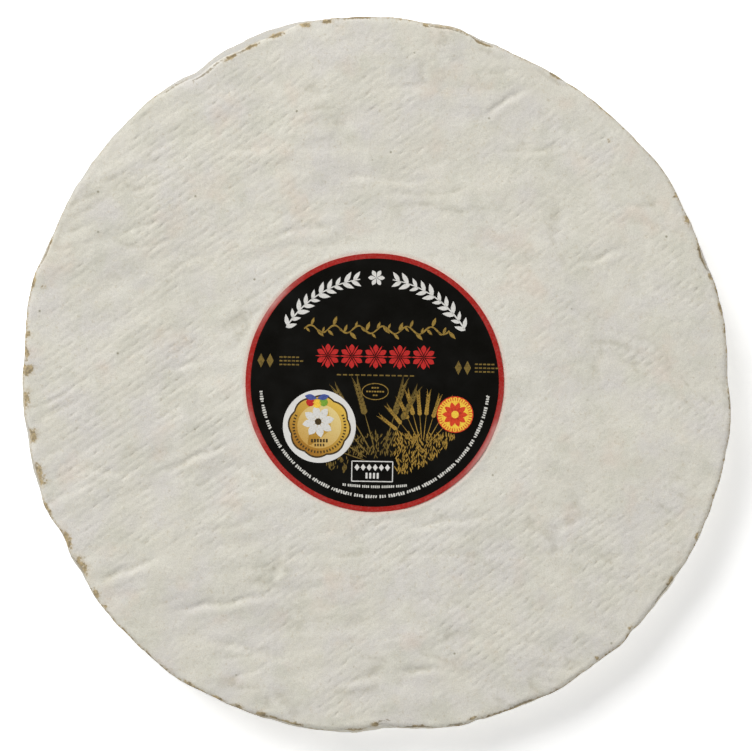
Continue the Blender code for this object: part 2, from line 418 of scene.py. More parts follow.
@dataclass(frozen=True)
class WovenMat:
    """The marks of the woven mat that the curd drained on: rows of short grooves between soft pillows.

    Each row's grooves follow one another at the weave's length, and stand a third of it further along
    than in the row above.
    """

    direction: float
    pitch: float
    depth: float
    seed: float = 0.0
    weave: float = 7.7 * MM
    stagger: float = 0.314
    groove_width: float = 0.17
    patch_length: float = 31.0 * MM
    # Where the mat pressed harder or less than elsewhere: x, y and reach in millimetres, and by how much
    # fmt: off
    pressed: tuple = (
        (-94, 130, 48, 0.6), (-148, 98, 16, 0.5), (-40, 150, 30, 0.45), (-124, -12, 54, 0.75),
        (-141, -73, 24, 0.4), (4, -88, 38, 0.4), (98, -98, 42, 0.45), (60, -130, 30, 0.3),
        (128, 0, 34, -0.25), (107, 128, 32, 0.4), (150, 60, 25, 0.3), (-94, -112, 34, -0.35),
        (4, 84, 30, -0.35), (150, -45, 26, -0.3), (20, -150, 25, -0.3), (-118, 72, 16, -0.35),
        (-78, 66, 24, 0.55), (-76, -80, 20, 0.5), (48, -92, 22, 0.35), (149, -80, 16, 0.6),
        (14, 112, 18, 0.35), (79, 108, 20, -0.35), (79, -45, 20, -0.4), (-90, -30, 22, -0.15),
        (86, -82, 20, -0.3), (-62, -112, 24, -0.25),
    )
    # fmt: on
    firmness: float = 0.32
    least_press: float = 0.06
    meander: float = 1.5 * MM
    meander_length: float = 70.0 * MM
    wobble: float = 0.45 * MM
    wobble_length: float = 13.0 * MM
    # The grooves lean off their rows, more so towards the lower right, and end more cleanly there
    lean: float = 0.16
    extra_lean: float = 0.26
    lean_reach: float = 120.0 * MM
    dash_power: float = 2.3
    joined: float = 0.07

    def imprint(self, x: float, y: float) -> Vector:
        """Finds a place in the weave.

        Args:
            x, y: the place.

        Returns:
            How many weave lengths along, how many rows across, and how hard the mat pressed, 0 to 1.
        """
        along, across = along_and_across(x, y, self.direction)
        stray = self.meander * noise_at(across, along, 0, self.meander_length, Seed.MEANDER + self.seed)
        stray += self.wobble * noise_at(x, y, self.seed, self.wobble_length, Seed.SHIFT)
        firm = self.firmness + noise_at(x, y, self.seed, self.patch_length, Seed.PATCH)
        firm += 0.6 * noise_at(x, y, self.seed, 0.4 * self.patch_length, Seed.DASH)
        for x0, y0, reach, share in self.pressed:
            firm += share * peak(math.hypot(x / MM - x0, y / MM - y0) / reach)
        press = self.least_press + (1 - self.least_press) * smooth_step(firm)
        return Vector(((along + 2 * stray) / self.weave, (across + stray) / self.pitch, press))

    def groove(self, x: float, y: float) -> tuple[float, float]:
        """Works out the groove at a place.

        Args:
            x, y: the place.

        Returns:
            How deep it is, from 0 on a pillow to 1, and how many rows off its middle line the place is.
        """
        spot = self.imprint(x, y)
        row = math.floor(spot.y + 0.5)
        phase = spot.x + self.stagger * row
        cell = math.floor(phase + 0.5)
        share = phase - cell
        leaning = smooth_step((x - y) / self.lean_reach)
        off = spot.y - row - (self.lean + self.extra_lean * leaning) * share
        dash = (0.5 + 0.5 * math.cos(2 * math.pi * share)) ** self.dash_power
        chance = 0.5 + 0.5 * noise.cell(Vector((cell + 0.5, row + 0.5, self.seed + 0.5)))
        uneven = chance * chance * (1 - leaning) + (0.15 + 0.85 * chance) * leaning
        joined = self.joined * (1 - 0.5 * leaning)
        depth = peak(off / self.groove_width) * spot.z
        return depth * (joined + (1 - joined) * dash * (0.25 + 0.75 * uneven)), off


@dataclass(frozen=True)
class Fold:
    """A crease across the top, with a low swell below it, where the soft curd settled."""

    x: float
    y: float
    direction: float
    half_length: float
    depth: float
    half_width: float = 1.5 * MM
    waver: float = 1.6 * MM
    waver_length: float = 11.0 * MM

    def height(self, x: float, y: float) -> float:
        """Returns how much the fold changes the top's height at a place."""
        along, across = along_and_across(x - self.x, y - self.y, self.direction)
        along /= self.half_length
        if abs(along) > 1.4:
            return 0.0
        across += self.waver * noise_at(x, y, 0, self.waver_length, Seed.WALL)
        across /= self.half_width
        if abs(across) > 6:
            return 0.0
        return self.depth * (0.35 * peak((across + 2.4) / 1.6) - peak(across)) * math.exp(-(along**4))


def top_folds() -> tuple[Fold, ...]:
    """Returns the top's clear folds: (x, y in mm, direction, half length in mm, depth in mm)."""
    # fmt: off
    rows = (
        (1, 100, -3, 24, 0.5), (-78, -116, 9, 22, 0.8), (-50, -96, 81, 13, 0.6), (-127, -99, 20, 14, 0.7),
        (-65, -140, -13, 26, 0.6), (36, -75, 8, 21, 0.5), (69, -131, -29, 18, 0.6), (31, -116, -27, 9, 0.6),
        (-8, -156, 9, 12, 0.6), (21, -150, 5, 10, 0.5), (85, 115, 6, 9, 0.5), (113, 60, 17, 11, 0.5),
        (65, 139, 34, 12, 0.6), (-65, 115, 5, 9, 0.5), (-97, 5, 15, 9, 0.4), (-35, 74, 8, 15, 0.4),
        (-137, -49, -10, 10, 0.6), (106, -69, -42, 13, 0.4), (74, -11, -52, 6, 0.5),
        (-92, -42, 25, 20, 0.4),
    )
    # fmt: on
    return tuple(
        Fold(x * MM, y * MM, direction, half * MM, depth * MM) for x, y, direction, half, depth in rows
    )


class Mark(Enum):
    """What shows at a mark on the rim, with how much wider it is than its row says."""

    WORN = 1.35
    CRACK = 1.2


@dataclass(frozen=True)
class RimMark:
    """A place near the rim where the white mould is worn through or the crust has cracked."""

    kind: Mark
    direction: float
    half_span: float
    inset: float
    half_width: float
    bow: float = 0.0

    def amount(self, direction: float, inset: float) -> float:
        """Works out how strongly the mark shows.

        Args:
            direction: which way round the wheel.
            inset: how far in from the outline.

        Returns:
            1 at the mark's middle, falling to 0.
        """
        apart = turn_from(self.direction, direction) / self.half_span
        if abs(apart) > 2.2:
            return 0.0
        # A bow makes the mark's ends run out towards the edge
        off = (inset - self.inset + self.bow * apart * apart) / self.half_width
        if abs(off) > 2.5:
            return 0.0
        return math.exp(-(apart**4)) * peak(off)


def rim_marks() -> tuple[RimMark, ...]:
    """Returns the marks along the rim: (direction, half span, inset in mm, half width in mm, bow in mm)."""
    # fmt: off
    worn = (
        (7, 0.5, 0.9, 0.8, 0), (11, 0.9, 0.9, 1.0, 0), (14.2, 1.2, 0.5, 0.5, 0), (16.4, 0.8, 1.6, 0.8, 0),
        (20.2, 1.9, 2.0, 0.9, 0.9), (26.5, 1.0, 1.3, 1.2, 0), (31, 0.4, 1.6, 1.2, 0),
        (42, 0.9, 0.4, 0.4, 0), (49.5, 2.4, 0.3, 0.4, 0), (45.3, 0.35, 9.5, 0.8, 0),
        (56, 1.0, 0.9, 0.6, 0), (59, 0.9, 1.6, 0.8, 0.6), (72.5, 1.7, 2.7, 0.8, 1.6),
        (78, 4.5, 1.2, 0.9, 0), (82, 0.6, 1.9, 1.0, 0), (92.8, 2.2, 0.6, 0.6, 0), (98, 0.9, 1.7, 1.0, 0),
        (101.5, 0.9, 2.3, 1.3, 0), (106.4, 1.2, 4.2, 1.2, 0), (110.8, 1.3, 4.8, 0.9, 0),
        (114.6, 1.4, 5.2, 0.8, 0), (128.3, 0.4, 0.6, 0.4, 0), (158, 0.9, 1.2, 0.6, 0),
        (165, 1.2, 0.9, 0.8, 0), (165.4, 0.3, 6.0, 0.9, 0), (173.4, 0.5, 1.4, 1.5, 0),
        (176.6, 0.9, 1.4, 1.3, 0), (179.2, 1.0, 2.6, 2.7, 0), (184, 1.5, 1.8, 1.9, 0),
        (190, 1.2, 2.6, 2.6, 0), (196.5, 1.9, 2.2, 2.6, 0), (201.8, 1.5, 1.2, 0.8, 0),
        (208, 1.7, 1.8, 1.5, 0.5), (213, 1.7, 2.1, 2.3, 0), (218, 0.9, 1.7, 1.4, 0),
        (220.6, 0.4, 1.6, 1.1, 0), (225.2, 0.5, 0.6, 0.6, 0), (230.8, 0.5, 0.6, 0.6, 0),
        (238.6, 0.7, 1.0, 1.0, 0), (244, 0.7, 0.8, 0.8, 0), (247.5, 0.7, 1.2, 1.3, 0),
        (251.3, 0.9, 1.6, 1.7, 0), (255, 3.2, 2.0, 0.7, 0), (257.6, 0.7, 1.9, 0.7, 0),
        (266.5, 1.6, 2.0, 0.6, 0), (269.8, 0.6, 3.4, 1.2, 0), (277, 1.4, 1.5, 0.8, 0),
        (285.7, 0.9, 2.2, 0.7, 0), (292, 4.6, 0.9, 0.7, 0), (307.8, 0.4, 2.3, 0.9, 0),
        (315, 0.3, 2.2, 0.9, 0), (325, 0.9, 1.9, 0.9, 0), (333.3, 0.7, 1.7, 0.8, 0),
        (340.3, 0.3, 1.2, 0.5, 0),
    )
    cracks = (
        (19.6, 2.3, 2.3, 0.4, 0.9), (58.8, 1.2, 1.8, 0.35, 0.6), (72.5, 1.9, 3.0, 0.4, 1.7),
        (79, 3.8, 2.5, 0.35, 0), (93, 2.2, 0.9, 0.45, 0), (98.3, 0.9, 1.8, 0.35, 0),
        (106.5, 1.4, 4.3, 0.35, 0), (112.5, 3.2, 5.0, 0.35, 0), (119.5, 3.2, 4.1, 0.35, 0.3),
        (124.6, 2.3, 2.0, 0.35, 0), (159.6, 2.4, 1.5, 0.35, 0.4), (271.2, 1.5, 4.6, 0.35, 0.6),
        (276.8, 2.2, 1.5, 0.35, 0.3), (282.6, 1.7, 1.3, 0.4, 0), (289.3, 2.2, 0.7, 0.5, 0),
        (293.8, 1.8, 1.7, 0.5, 0), (297.6, 2.6, 0.6, 0.45, 0), (322.8, 1.9, 1.7, 0.4, 0.5),
        (345.5, 0.2, 2.5, 0.5, 0), (355.5, 1.2, 0.8, 0.3, 0),
    )
    # fmt: on
    span_scale = 1.15
    extra_inset = 0.35
    return tuple(
        RimMark(
            kind, direction, span_scale * span, (inset + extra_inset) * MM, kind.value * width * MM, bow * MM
        )
        for kind, rows in ((Mark.WORN, worn), (Mark.CRACK, cracks))
        for direction, span, inset, width, bow in rows
    )


@dataclass(frozen=True)
class MouldRind:
    """White mould grown on drained curd: a matt, velvety nap, thin over the mat's grooves.

    The nap scatters nearly all the light, so it has no gloss; greenish and violet greys show where it
    is thin, and ochre crust where it has worn off at the rim. The grooves and creases are darkened
    partly as thin mould and partly as painted shade; the wall and the top's edge get a grey of painted
    shade, strongest at the upper left, where the key light falls hardest.
    """

    label_middle: Vector
    cream: str = "DDD9CC"
    cool: str = "DAD6CF"
    green: str = "D1CFC0"
    tan: str = "DCCDBD"
    pale: str = "E7E4D8"
    pink: str = "E0BDB0"
    # Partly the thin mould's own grey and partly painted shade in the grooves and creases
    groove: str = "B3AE9C"
    # Painted shade: a grey laid on the wall and the top's edge, strongest where the key light falls hardest
    side: str = "A3A19C"
    speck: str = "7A7456"
    ochre: str = "B9A47A"
    brown: str = "84765A"
    # The nap's own tufts, about 0.2 mm, are too fine to show, so they are drawn twice as coarse
    nap_size: float = 0.5 * MM
    speck_spacing: float = 10.0 * MM
    base_limit: float = 14.0 * MM

    def material(self) -> bpy.types.Material:
        """Returns the rind's material, which reads the attributes mat, groove, side, worn and crack."""
        made, add, shader = start_material("white_mould_rind_grown_on_curd")
        where = add("TexCoord", output="Object")
        weave = add("Attribute", output="Vector", attribute_name="mat")
        across = add("SeparateXYZ", (weave,), "X")
        creased = add("SeparateXYZ", (weave,), "Y")
        # The side attribute carries painted shade: a grey on the wall and the top's edge
        side = add("Attribute", output="Fac", attribute_name="side")
        line = self.groove_line(add, where, across)
        crease = add("MapRange", (creased, 0.45, 1.0, 0.0, 0.45))
        patchy = noise_mask(add, where, 5 * MM, 3.0, (0.4, 0.6), 1.0, 12.0)
        # The groove and crease tints are partly thin mould and partly painted shade that gathers in those
        # recesses
        layers = (
            (add("Math", (line, 0.55), operation="MULTIPLY"), self.groove),
            (add("Math", (crease, patchy), operation="MULTIPLY"), self.groove),
            (add("Math", (side, 0.85), operation="MULTIPLY"), self.side),
            (self.specks(add, where), self.speck),
        )
        colour = self.rim(add, where, lay_over(add, self.blotches(add, where), layers))

        # Tufts of the nap, lighter where they stand up
        nap = noise_mask(add, where, self.nap_size, 2.0, (0.3, 0.7))
        shade = add("MapRange", (nap, 0.0, 1.0, 0.888, 1.09))
        colour = add("Mix", {0: 1.0, 6: colour, 7: shade}, 2, data_type="RGBA", blend_type="MULTIPLY")

        # Small lumps of curd under the nap, and the sharp bottoms of the grooves
        height = noise_mask(add, where, 2.6 * MM, 3.0, (0.2, 0.8), 1.0, 7.0)
        for part, share in ((nap, 0.2), (line, -0.45)):
            height = add("Math", (part, share, height), operation="MULTIPLY_ADD")
        bump = add("Bump", {"Height": height, "Strength": 0.6, "Distance": 0.35 * MM})
        looks = {"Roughness": 0.88, "Specular IOR Level": 0.2, "Sheen Weight": 0.1, "Sheen Roughness": 0.5}
        fill_inputs(shader, {"Base Color": colour, "Normal": bump, **looks})
        return made

    def blotches(self, add: Adder, where: Socket) -> Socket:
        """Mixes the mould's faint greys and creams, and the paler ring that the label's damp leaves."""
        # Size in mm, detail, band of the noise, strength, seed and tint
        rows = (
            (20, 4.0, (0.42, 0.62), 0.9, 1.0, self.cool),
            (15, 3.0, (0.48, 0.68), 0.6, 2.0, self.green),
            (19, 3.0, (0.56, 0.72), 0.5, 3.0, self.tan),
            (8, 3.0, (0.5, 0.7), 0.45, 4.0, self.pale),
            (4.5, 3.0, (0.55, 0.75), 0.4, 5.0, self.green),
        )
        layers = [(noise_mask(add, where, size * MM, *how), tint) for size, *how, tint in rows]
        away = add("VectorMath", (where, self.label_middle), "Value", operation="DISTANCE")
        # The ring and the ink are on the top alone, so the base counts as far away
        height = add("SeparateXYZ", (where,), "Z")
        low = add("Math", (height, self.base_limit), operation="LESS_THAN")
        away = add("Math", (low, 1.0, away), operation="MULTIPLY_ADD")
        ring = (away, 68 * MM, 104 * MM, 0.4, 0.0)
        layers.append((add("MapRange", ring, interpolation_type="SMOOTHSTEP"), self.pale))
        # A pink tint just outside the label's edge
        layers.append((add("MapRange", (away, 66.2 * MM, 68 * MM, 0.6, 0.0)), self.pink))
        return lay_over(add, self.cream, layers)

    def groove_line(self, add: Adder, where: Socket, across: Socket) -> Socket:
        """Narrows the grooves' tint, partly painted shade, to crumbly lines, finer than the mesh is."""
        off = add("Math", (across,), operation="ABSOLUTE")
        line = add("MapRange", (add("Attribute", output="Fac", attribute_name="groove"), 0.24, 0.72))
        core = add("MapRange", (off, 0.02, 0.22, 1.0, 0.2))
        for part in (core, noise_mask(add, where, 1.7 * MM, 3.0, (0.3, 0.6), 1.0, 8.0)):
            line = add("Math", (line, part), operation="MULTIPLY")
        return line

    def specks(self, add: Adder, where: Socket) -> Socket:
        """Scatters a few small dark specks, most of them in loose groups."""
        near = add("TexVoronoi", {"Vector": where, "Scale": 1 / self.speck_spacing}, "Distance")
        spot = add("MapRange", (near, 0.03, 0.085, 0.72, 0.0))
        chance = add("SeparateColor", (near.node.outputs["Color"],))
        chosen = add("Math", (chance, 0.7), operation="GREATER_THAN")
        for part in (chosen, noise_mask(add, where, 22 * MM, 2.0, (0.42, 0.52), 1.0, 9.0)):
            spot = add("Math", (spot, part), operation="MULTIPLY")
        return spot

    def rim(self, add: Adder, where: Socket, colour: Socket) -> Socket:
        """Adds the worn ochre crumbs and the dark cracks, by the attributes worn and crack."""
        crumbs = noise_mask(add, where, 1.5 * MM, 4.0, (0.3, 0.7), 0.75, 10.0)
        patches = noise_mask(add, where, 1.6 * MM, 3.0, (0.42, 0.6), 1.0, 11.0)
        tones = {0: patches, 6: linear(self.ochre), 7: linear(self.brown)}
        crust = add("Mix", tones, 2, data_type="RGBA")
        layers = []
        for name, low, high, strength, tint in (
            ("worn", 0.5, 1.2, 0.5, self.ochre),
            ("worn", 0.9, 1.12, 0.85, crust),
            ("crack", 0.7, 1.05, 0.65, self.brown),
        ):
            amount = add("Attribute", output="Fac", attribute_name=name)
            level = add("Math", (amount, crumbs), operation="ADD")
            layers.append((add("MapRange", (level, low, high, 0.0, strength)), tint))
        return lay_over(add, colour, layers)


@dataclass
class BrieWheel:
    """The wheel of cheese: a ridged top, a lip with cracks, a bulging wall, a foot and a ridged base."""

    form: WheelForm
    middle: Vector
    folds: tuple[Fold, ...]
    segments: int = 560
    blank_radius: float = 176.0 * MM
    blank_step: float = 1.0 * MM
    blank_height: float = 10.0 * MM
    blank_margin: float = 1.2 * MM
    rim_band: float = 6.5 * MM
    top_cell: Point = (2.2 * MM, 0.66 * MM)
    base_cell: Point = (10.0 * MM, 1.0 * MM)
    base_direction: float = 118.0
    base_depth: float = 0.4 * MM
    base_inset: float = 1.5 * MM
    # Insets in mm from the lip's edge, then (inset, drop below the top) round the lip and down its crack
    rim_insets: tuple = (5.3, 4.2, 3.3, 2.5, 1.8, 1.2, 0.7, 0.3)
    lip_steps: tuple = ((0.0, 0.9), (0.05, 1.4), (0.35, 1.75), (0.6, 2.15), (0.35, 2.5), (0.0, 2.8))
    wall_rings: int = 12
    # How much of the grooves' depth the mould has left open
    overgrown: float = 0.95
    # The small folds run in arches: they rise to the right on the left side and fall on the right side
    pillow: float = 0.42 * MM
    pillow_cell: Point = (24.0 * MM, 9.0 * MM)
    crease: float = 0.32 * MM
    crease_cell: Point = (30.0 * MM, 11.0 * MM)
    crease_width: float = 0.16
    arch: float = 1.5
    lump: float = 0.115 * MM
    lump_length: float = 7.0 * MM
    # The mould has grown up against the label's edge
    collar: float = 0.3 * MM
    collar_gap: float = 1.6 * MM
    collar_width: float = 1.5 * MM
    mark_reach: float = 14.0 * MM
    relief_fade: float = 6.0 * MM
    rim_drop: float = 0.9 * MM
    rim_drop_reach: float = 2.8 * MM
    groove_fade: float = 2.5 * MM
    # The direction where the painted shade on the wall is strongest, facing the key light
    painted_shade_direction: float = 125.0
    crack_depth: float = 0.2 * MM
    wall_swell: float = 0.9 * MM
    wall_swell_length: float = 26.0 * MM
    wrinkle: float = 0.4 * MM
    wrinkle_length: float = 7.0 * MM

    def build(self) -> bpy.types.Object:
        """Returns the finished wheel in place of the plain solid."""
        depth = self.overgrown * self.form.ridge_depth
        mat = WovenMat(self.form.ridge_direction, self.form.ridge_pitch, depth)
        wheel = self.blank()
        self.shape(wheel, mat)
        wheel.name = "brie_rind"
        wheel.data.materials.clear()
        label_middle = Vector((*self.form.label_centre, self.form.height)) - self.middle
        wheel.data.materials.append(MouldRind(label_middle).material())
        pick(wheel)
        bpy.ops.object.shade_smooth()
        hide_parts("brie_wheel")
        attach(wheel, BODY)
        return wheel

    def circle(self, height: float) -> None:
        """Adds the empty circle that joins a disc to the rings."""
        bpy.ops.mesh.primitive_circle_add(
            vertices=self.segments, radius=self.blank_radius, fill_type="NOTHING", location=(0, 0, height)
        )

    def disc(self, height: float, cell: Point, direction: float) -> bpy.types.Object:
        """Makes a flat disc of long cells inside a ring.

        Args:
            height: the disc's height in the blank.
            cell: a cell's length and width.
            direction: the way that the cells run.

        Returns:
            The disc.
        """
        columns = math.ceil(2 * self.blank_radius / cell[0])
        rows = math.ceil(2 * self.blank_radius / cell[1])
        pick()
        bpy.ops.mesh.primitive_grid_add(
            x_subdivisions=columns,
            y_subdivisions=rows,
            size=1,
            location=(0, 0, height),
            rotation=(0, 0, math.radians(direction)),
        )
        disc = bpy.context.object
        disc.scale = (columns * cell[0], rows * cell[1], 1)
        bpy.ops.object.transform_apply(location=True, rotation=True, scale=True)
        mesh = disc.data
        mesh.polygons.foreach_set("select", [False] * len(mesh.polygons))
        mesh.edges.foreach_set("select", [False] * len(mesh.edges))
        limit = self.blank_radius - self.blank_margin
        mesh.vertices.foreach_set("select", [math.hypot(*vertex.co.xy) > limit for vertex in mesh.vertices])
        bpy.ops.object.mode_set(mode="EDIT")
        bpy.ops.mesh.select_mode(type="VERT")
        bpy.ops.mesh.delete(type="VERT")
        self.circle(height)
        select_boundary(wires=True)
        bpy.ops.mesh.fill(use_beauty=True)
        bpy.ops.object.mode_set(mode="OBJECT")
        return disc

    def blank(self) -> bpy.types.Object:
        """Returns the flat blank: the top inside flat rings, and the base below, joined at their edges."""
        top = self.disc(0.0, self.top_cell, self.form.ridge_direction)
        base = self.disc(-self.blank_height, self.base_cell, self.base_direction)
        pick()
        self.circle(0.0)
        rings = bpy.context.object
        edit_all()
        count = len(self.rim_insets) + len(self.lip_steps) + self.wall_rings
        grow_rings([self.blank_radius + index * self.blank_step for index in range(count + 1)])
        bpy.ops.object.mode_set(mode="OBJECT")
        pick(rings, top, base)
        bpy.ops.object.join()
        edit_all()
        bpy.ops.mesh.remove_doubles(threshold=0.02 * MM)
        select_boundary(wires=False)
        bpy.ops.mesh.bridge_edge_loops()
        face_outwards()
        return rings

    def shape(self, wheel: bpy.types.Object, mat: WovenMat) -> None:
        """Moves the blank's points to the wheel's form and notes its grooves and rim marks.

        Args:
            wheel: the flat blank.
            mat: the mat's marks on the top.
        """
        marks = rim_marks()
        base_mat = WovenMat(self.base_direction, self.form.ridge_pitch, self.base_depth, Seed.BASE)
        highest = CAD_BOX[1].z - 0.02 * MM
        outline_at = cache(self.form.outline)
        tints: dict[str, list[float]] = {"groove": [], "worn": [], "crack": [], "side": []}
        weave: list[float] = []
        for vertex in wheel.data.vertices:
            x, y, z = vertex.co
            reach = math.hypot(x, y)
            direction = round(math.degrees(math.atan2(y, x)) % 360, 3)
            ring = round((reach - self.blank_radius) / self.blank_step)
            outline = outline_at(direction)
            share = reach / self.blank_radius
            if z < -0.5 * self.blank_height:
                place, groove, strain = self.base_point(direction, share, outline, base_mat)
            elif ring <= 0:
                radius = share * (outline - self.form.lip(direction) - self.rim_band)
                place, groove, strain = self.relief(*polar(radius, direction), 0.0, 1.0, mat)
            else:
                place, groove, strain = self.wall_point(direction, ring - 1, outline, mat)
            inset = outline - math.hypot(place.x, place.y)
            worn, crack = self.rim_tints(marks, direction, inset, place.z)
            place.z = min(place.z - self.crack_depth * crack, highest)
            vertex.co = place - self.middle
            weave.extend(strain)
            # Painted shade that greys the wall and the top's edge where the key light falls hardest
            side = self.painted_wall_shade(direction, ring, inset, place.z)
            for values, value in zip(tints.values(), (groove, worn, crack, side)):
                values.append(value)
        for name, values in tints.items():
            add_layer(wheel, name, values)
        add_layer(wheel, "mat", weave, "FLOAT_VECTOR")
        wheel.data.update()

    def painted_wall_shade(self, direction: float, ring: int, inset: float, height: float) -> float:
        """Returns the painted shade on the wall, or the top's own edge, at a place: most at the upper left.
        """
        side = max(0.0, 0.45 + 0.55 * math.cos(math.radians(direction - self.painted_shade_direction)))
        if ring > len(self.rim_insets):
            return side
        return side * 0.75 * peak(inset / (1.4 * MM)) * (height > 0.5 * self.form.height)

    def rim_tints(self, marks: Sequence[RimMark], direction: float, inset: float, height: float) -> Point:
        """Sums up the marks at a place near the rim.

        Args:
            marks: all the marks.
            direction: which way round the wheel.
            inset: how far in from the outline.
            height: how high it lies.

        Returns:
            How worn and how cracked the rind is, each 0 to 1.
        """
        if inset >= self.mark_reach or height <= 5 * MM:
            return 0.0, 0.0
        found = {Mark.WORN: 0.0, Mark.CRACK: 0.0}
        for mark in marks:
            found[mark.kind] = max(found[mark.kind], mark.amount(direction, inset))
        # Crumbs of crust show all along the edge, most of them from the left round to the bottom
        edge = peak((inset - 0.8 * MM) / (1.1 * MM)) * (1 - 0.8 * bell(direction, 141, 15))
        side = 0.5 + 0.5 * math.cos(math.radians(direction - 225))
        worn = max(found[Mark.WORN], edge * (0.5 + 0.1 * side))
        # Down the wall only traces are left
        fade = smooth_step((height - 14 * MM) / (9 * MM))
        return worn * (0.35 + 0.65 * fade), found[Mark.CRACK] * fade

    def relief(self, x: float, y: float, drop: float, strength: float, mat: WovenMat) -> Spot:
        """Gives the top its creases, lumps and grooves.

        Args:
            x, y: the place.
            drop: how far the rim has turned down there.
            strength: how much of the grooves shows, 0 to 1.
            mat: the mat's marks.

        Returns:
            The spot.
        """
        bare = strength * (1 - self.form.label_cover(x, y, self.relief_fade))
        x0, y0 = self.form.label_centre
        away = math.hypot(x - x0, y - y0) - self.form.label_radius - self.collar_gap
        height = self.form.top(x, y) - drop + self.collar * peak(away / self.collar_width)
        if bare <= 0:
            return Vector((x, y, height)), 0.0, Vector((0.5, 0.0, 0.0))
        groove, off = mat.groove(x, y)
        groove *= bare
        lump = noise_at(x, y, 0, self.lump_length, Seed.LUMP)
        lump += 0.45 * noise_at(x, y, 0, 0.45 * self.lump_length, Seed.WRINKLE)
        change, crease = self.folds_at(x, y)
        height += bare * (change + self.lump * lump) - mat.depth * groove
        return Vector((x, y, height)), groove, Vector((off, bare * crease, 0.0))

    def folds_at(self, x: float, y: float) -> tuple[float, float]:
        """Returns how much the folds change the top's height at a place, and how far it is creased."""
        arched = y + self.arch * x * x
        long, short = self.pillow_cell
        height = self.pillow * noise.noise(Vector((x / long, arched / short, Seed.CREASE)))
        long, short = self.crease_cell
        line = noise.noise(Vector((x / long, arched / short, Seed.LUMP))) / self.crease_width
        shown = smooth_step(0.45 + 1.3 * noise_at(x, y, 0, long, Seed.CHIP))
        crease = shown * peak(line)
        height -= self.crease * crease
        for fold in self.folds:
            change = fold.height(x, y)
            height += change
            crease = max(crease, -change / fold.depth)
        return height, crease

    def wall_point(self, direction: float, index: int, outline: float, mat: WovenMat) -> Spot:
        """Places a point of the rim, the lip or the wall.

        Args:
            direction: which way round the wheel.
            index: which ring, counted from the top's edge.
            outline: the outline's radius that way.
            mat: the mat's marks.

        Returns:
            The spot.
        """
        lip = outline - self.form.lip(direction)
        if index < len(self.rim_insets):
            inset = self.rim_insets[index] * MM
            drop = self.rim_drop * max(0.0, 1 - inset / self.rim_drop_reach) ** 2
            strength = smooth_step(inset / self.groove_fade)
            return self.relief(*polar(lip - inset, direction), drop, strength, mat)
        index -= len(self.rim_insets)
        if index < len(self.lip_steps):
            inset, drop = self.lip_steps[index]
            x, y = polar(lip - inset * MM, direction)
            return Vector((x, y, self.form.top(x, y) - drop * MM)), 0.0, Vector()
        index -= len(self.lip_steps)
        share = 1 - (index + 1) / self.wall_rings
        height = (self.form.top(*polar(lip, direction)) - self.lip_steps[-1][1] * MM) * share**1.15
        radius = outline - self.form.wall_inset(direction, height)
        x, y = polar(radius, direction)
        dent = min(0.0, noise_at(x, y, height, self.wall_swell_length, Seed.WALL))
        wrinkle = noise_at(x, y, 1.6 * height, self.wrinkle_length, Seed.WRINKLE) - 0.5
        # The wrinkles end above the foot, so that the wheel's base stays flat
        radius += self.wall_swell * dent + self.wrinkle * wrinkle * smooth_step(height / (3 * MM))
        return Vector((*polar(radius, direction), height)), 0.0, Vector()

    def base_point(self, direction: float, share: float, outline: float, mat: WovenMat) -> Spot:
        """Places a point of the base, whose grooves rise from the flat that the wheel rests on.

        Args:
            direction: which way round the wheel.
            share: how far out, from 0 in the middle to 1 at the wall's last ring.
            outline: the outline's radius that way.
            mat: the mat's marks.

        Returns:
            The spot.
        """
        x, y = polar(share * (outline - self.form.foot_inset - self.base_inset), direction)
        groove, off = mat.groove(x, y)
        groove *= smooth_step((1 - share) / 0.03)
        return Vector((x, y, mat.depth * groove)), groove, Vector((off, 0.0, 0.0))


@dataclass(frozen=True)
class CoatedPaper:
    """Coated label paper, offset printed and varnished: a closed, slightly glossy film of ink."""

    name: str
    colour: str
    # The second tone shows in the fibre's faint grain and as a painted highlight where the edge bends
    grain_and_bend_colour: str
    roughness: float = 0.36
    specular: float = 0.35
    fibre_size: float = 1.1 * MM
    cockle_size: float = 11.0 * MM

    def material(self) -> bpy.types.Material:
        """Returns the paper's material; the attribute bend_highlight paints a highlight on the bent edge."""
        made, add, shader = start_material(self.name)
        where = add("TexCoord", output="Object")
        fibre = add("TexNoise", {"Vector": where, "Scale": 1 / self.fibre_size, "Detail": 4.0})
        cockle = add("TexNoise", {"Vector": where, "Scale": 1 / self.cockle_size, "Detail": 2.0})
        faint = add("MapRange", (fibre, 0.45, 0.9, 0.0, 0.12))
        # Painted highlight on the bent edge, added to the fibre's faint grain
        bend_highlight = add("Attribute", output="Fac", attribute_name="bend_highlight")
        worn = add("Math", (bend_highlight, faint), operation="ADD")
        bump = add("Bump", {"Height": cockle, "Strength": 0.3, "Distance": 0.25 * MM})
        tones = {0: worn, 6: linear(self.colour), 7: linear(self.grain_and_bend_colour)}
        looks = {
            "Base Color": add("Mix", tones, 2, data_type="RGBA"),
            "Roughness": add("MapRange", (cockle, 0.3, 0.7, self.roughness - 0.05, self.roughness + 0.07)),
            "Normal": add("Bump", {"Height": fibre, "Strength": 0.15, "Distance": 0.03 * MM, "Normal": bump}),
            "Specular IOR Level": self.specular,
        }
        fill_inputs(shader, looks)
        return made


@dataclass(frozen=True)
class PaperLay:
    """How a round paper lies on the wheel: its middle, radius, lift and the waves of its edge."""

    form: WheelForm
    centre: Point
    radius: float
    lift: float
    edge_wave: float
    wave_length: float
    wave_from: float

    def height(self, x: float, y: float) -> float:
        """Returns the height of the paper's upper face there, before centring."""
        away = math.hypot(x - self.centre[0], y - self.centre[1]) / self.radius
        wave = noise_at(x, y, 0, self.wave_length, Seed.PAPER)
        wave *= smooth_step((away - self.wave_from) / (1 - self.wave_from))
        return self.form.top(x, y) + self.lift + self.edge_wave * max(-0.6, wave)


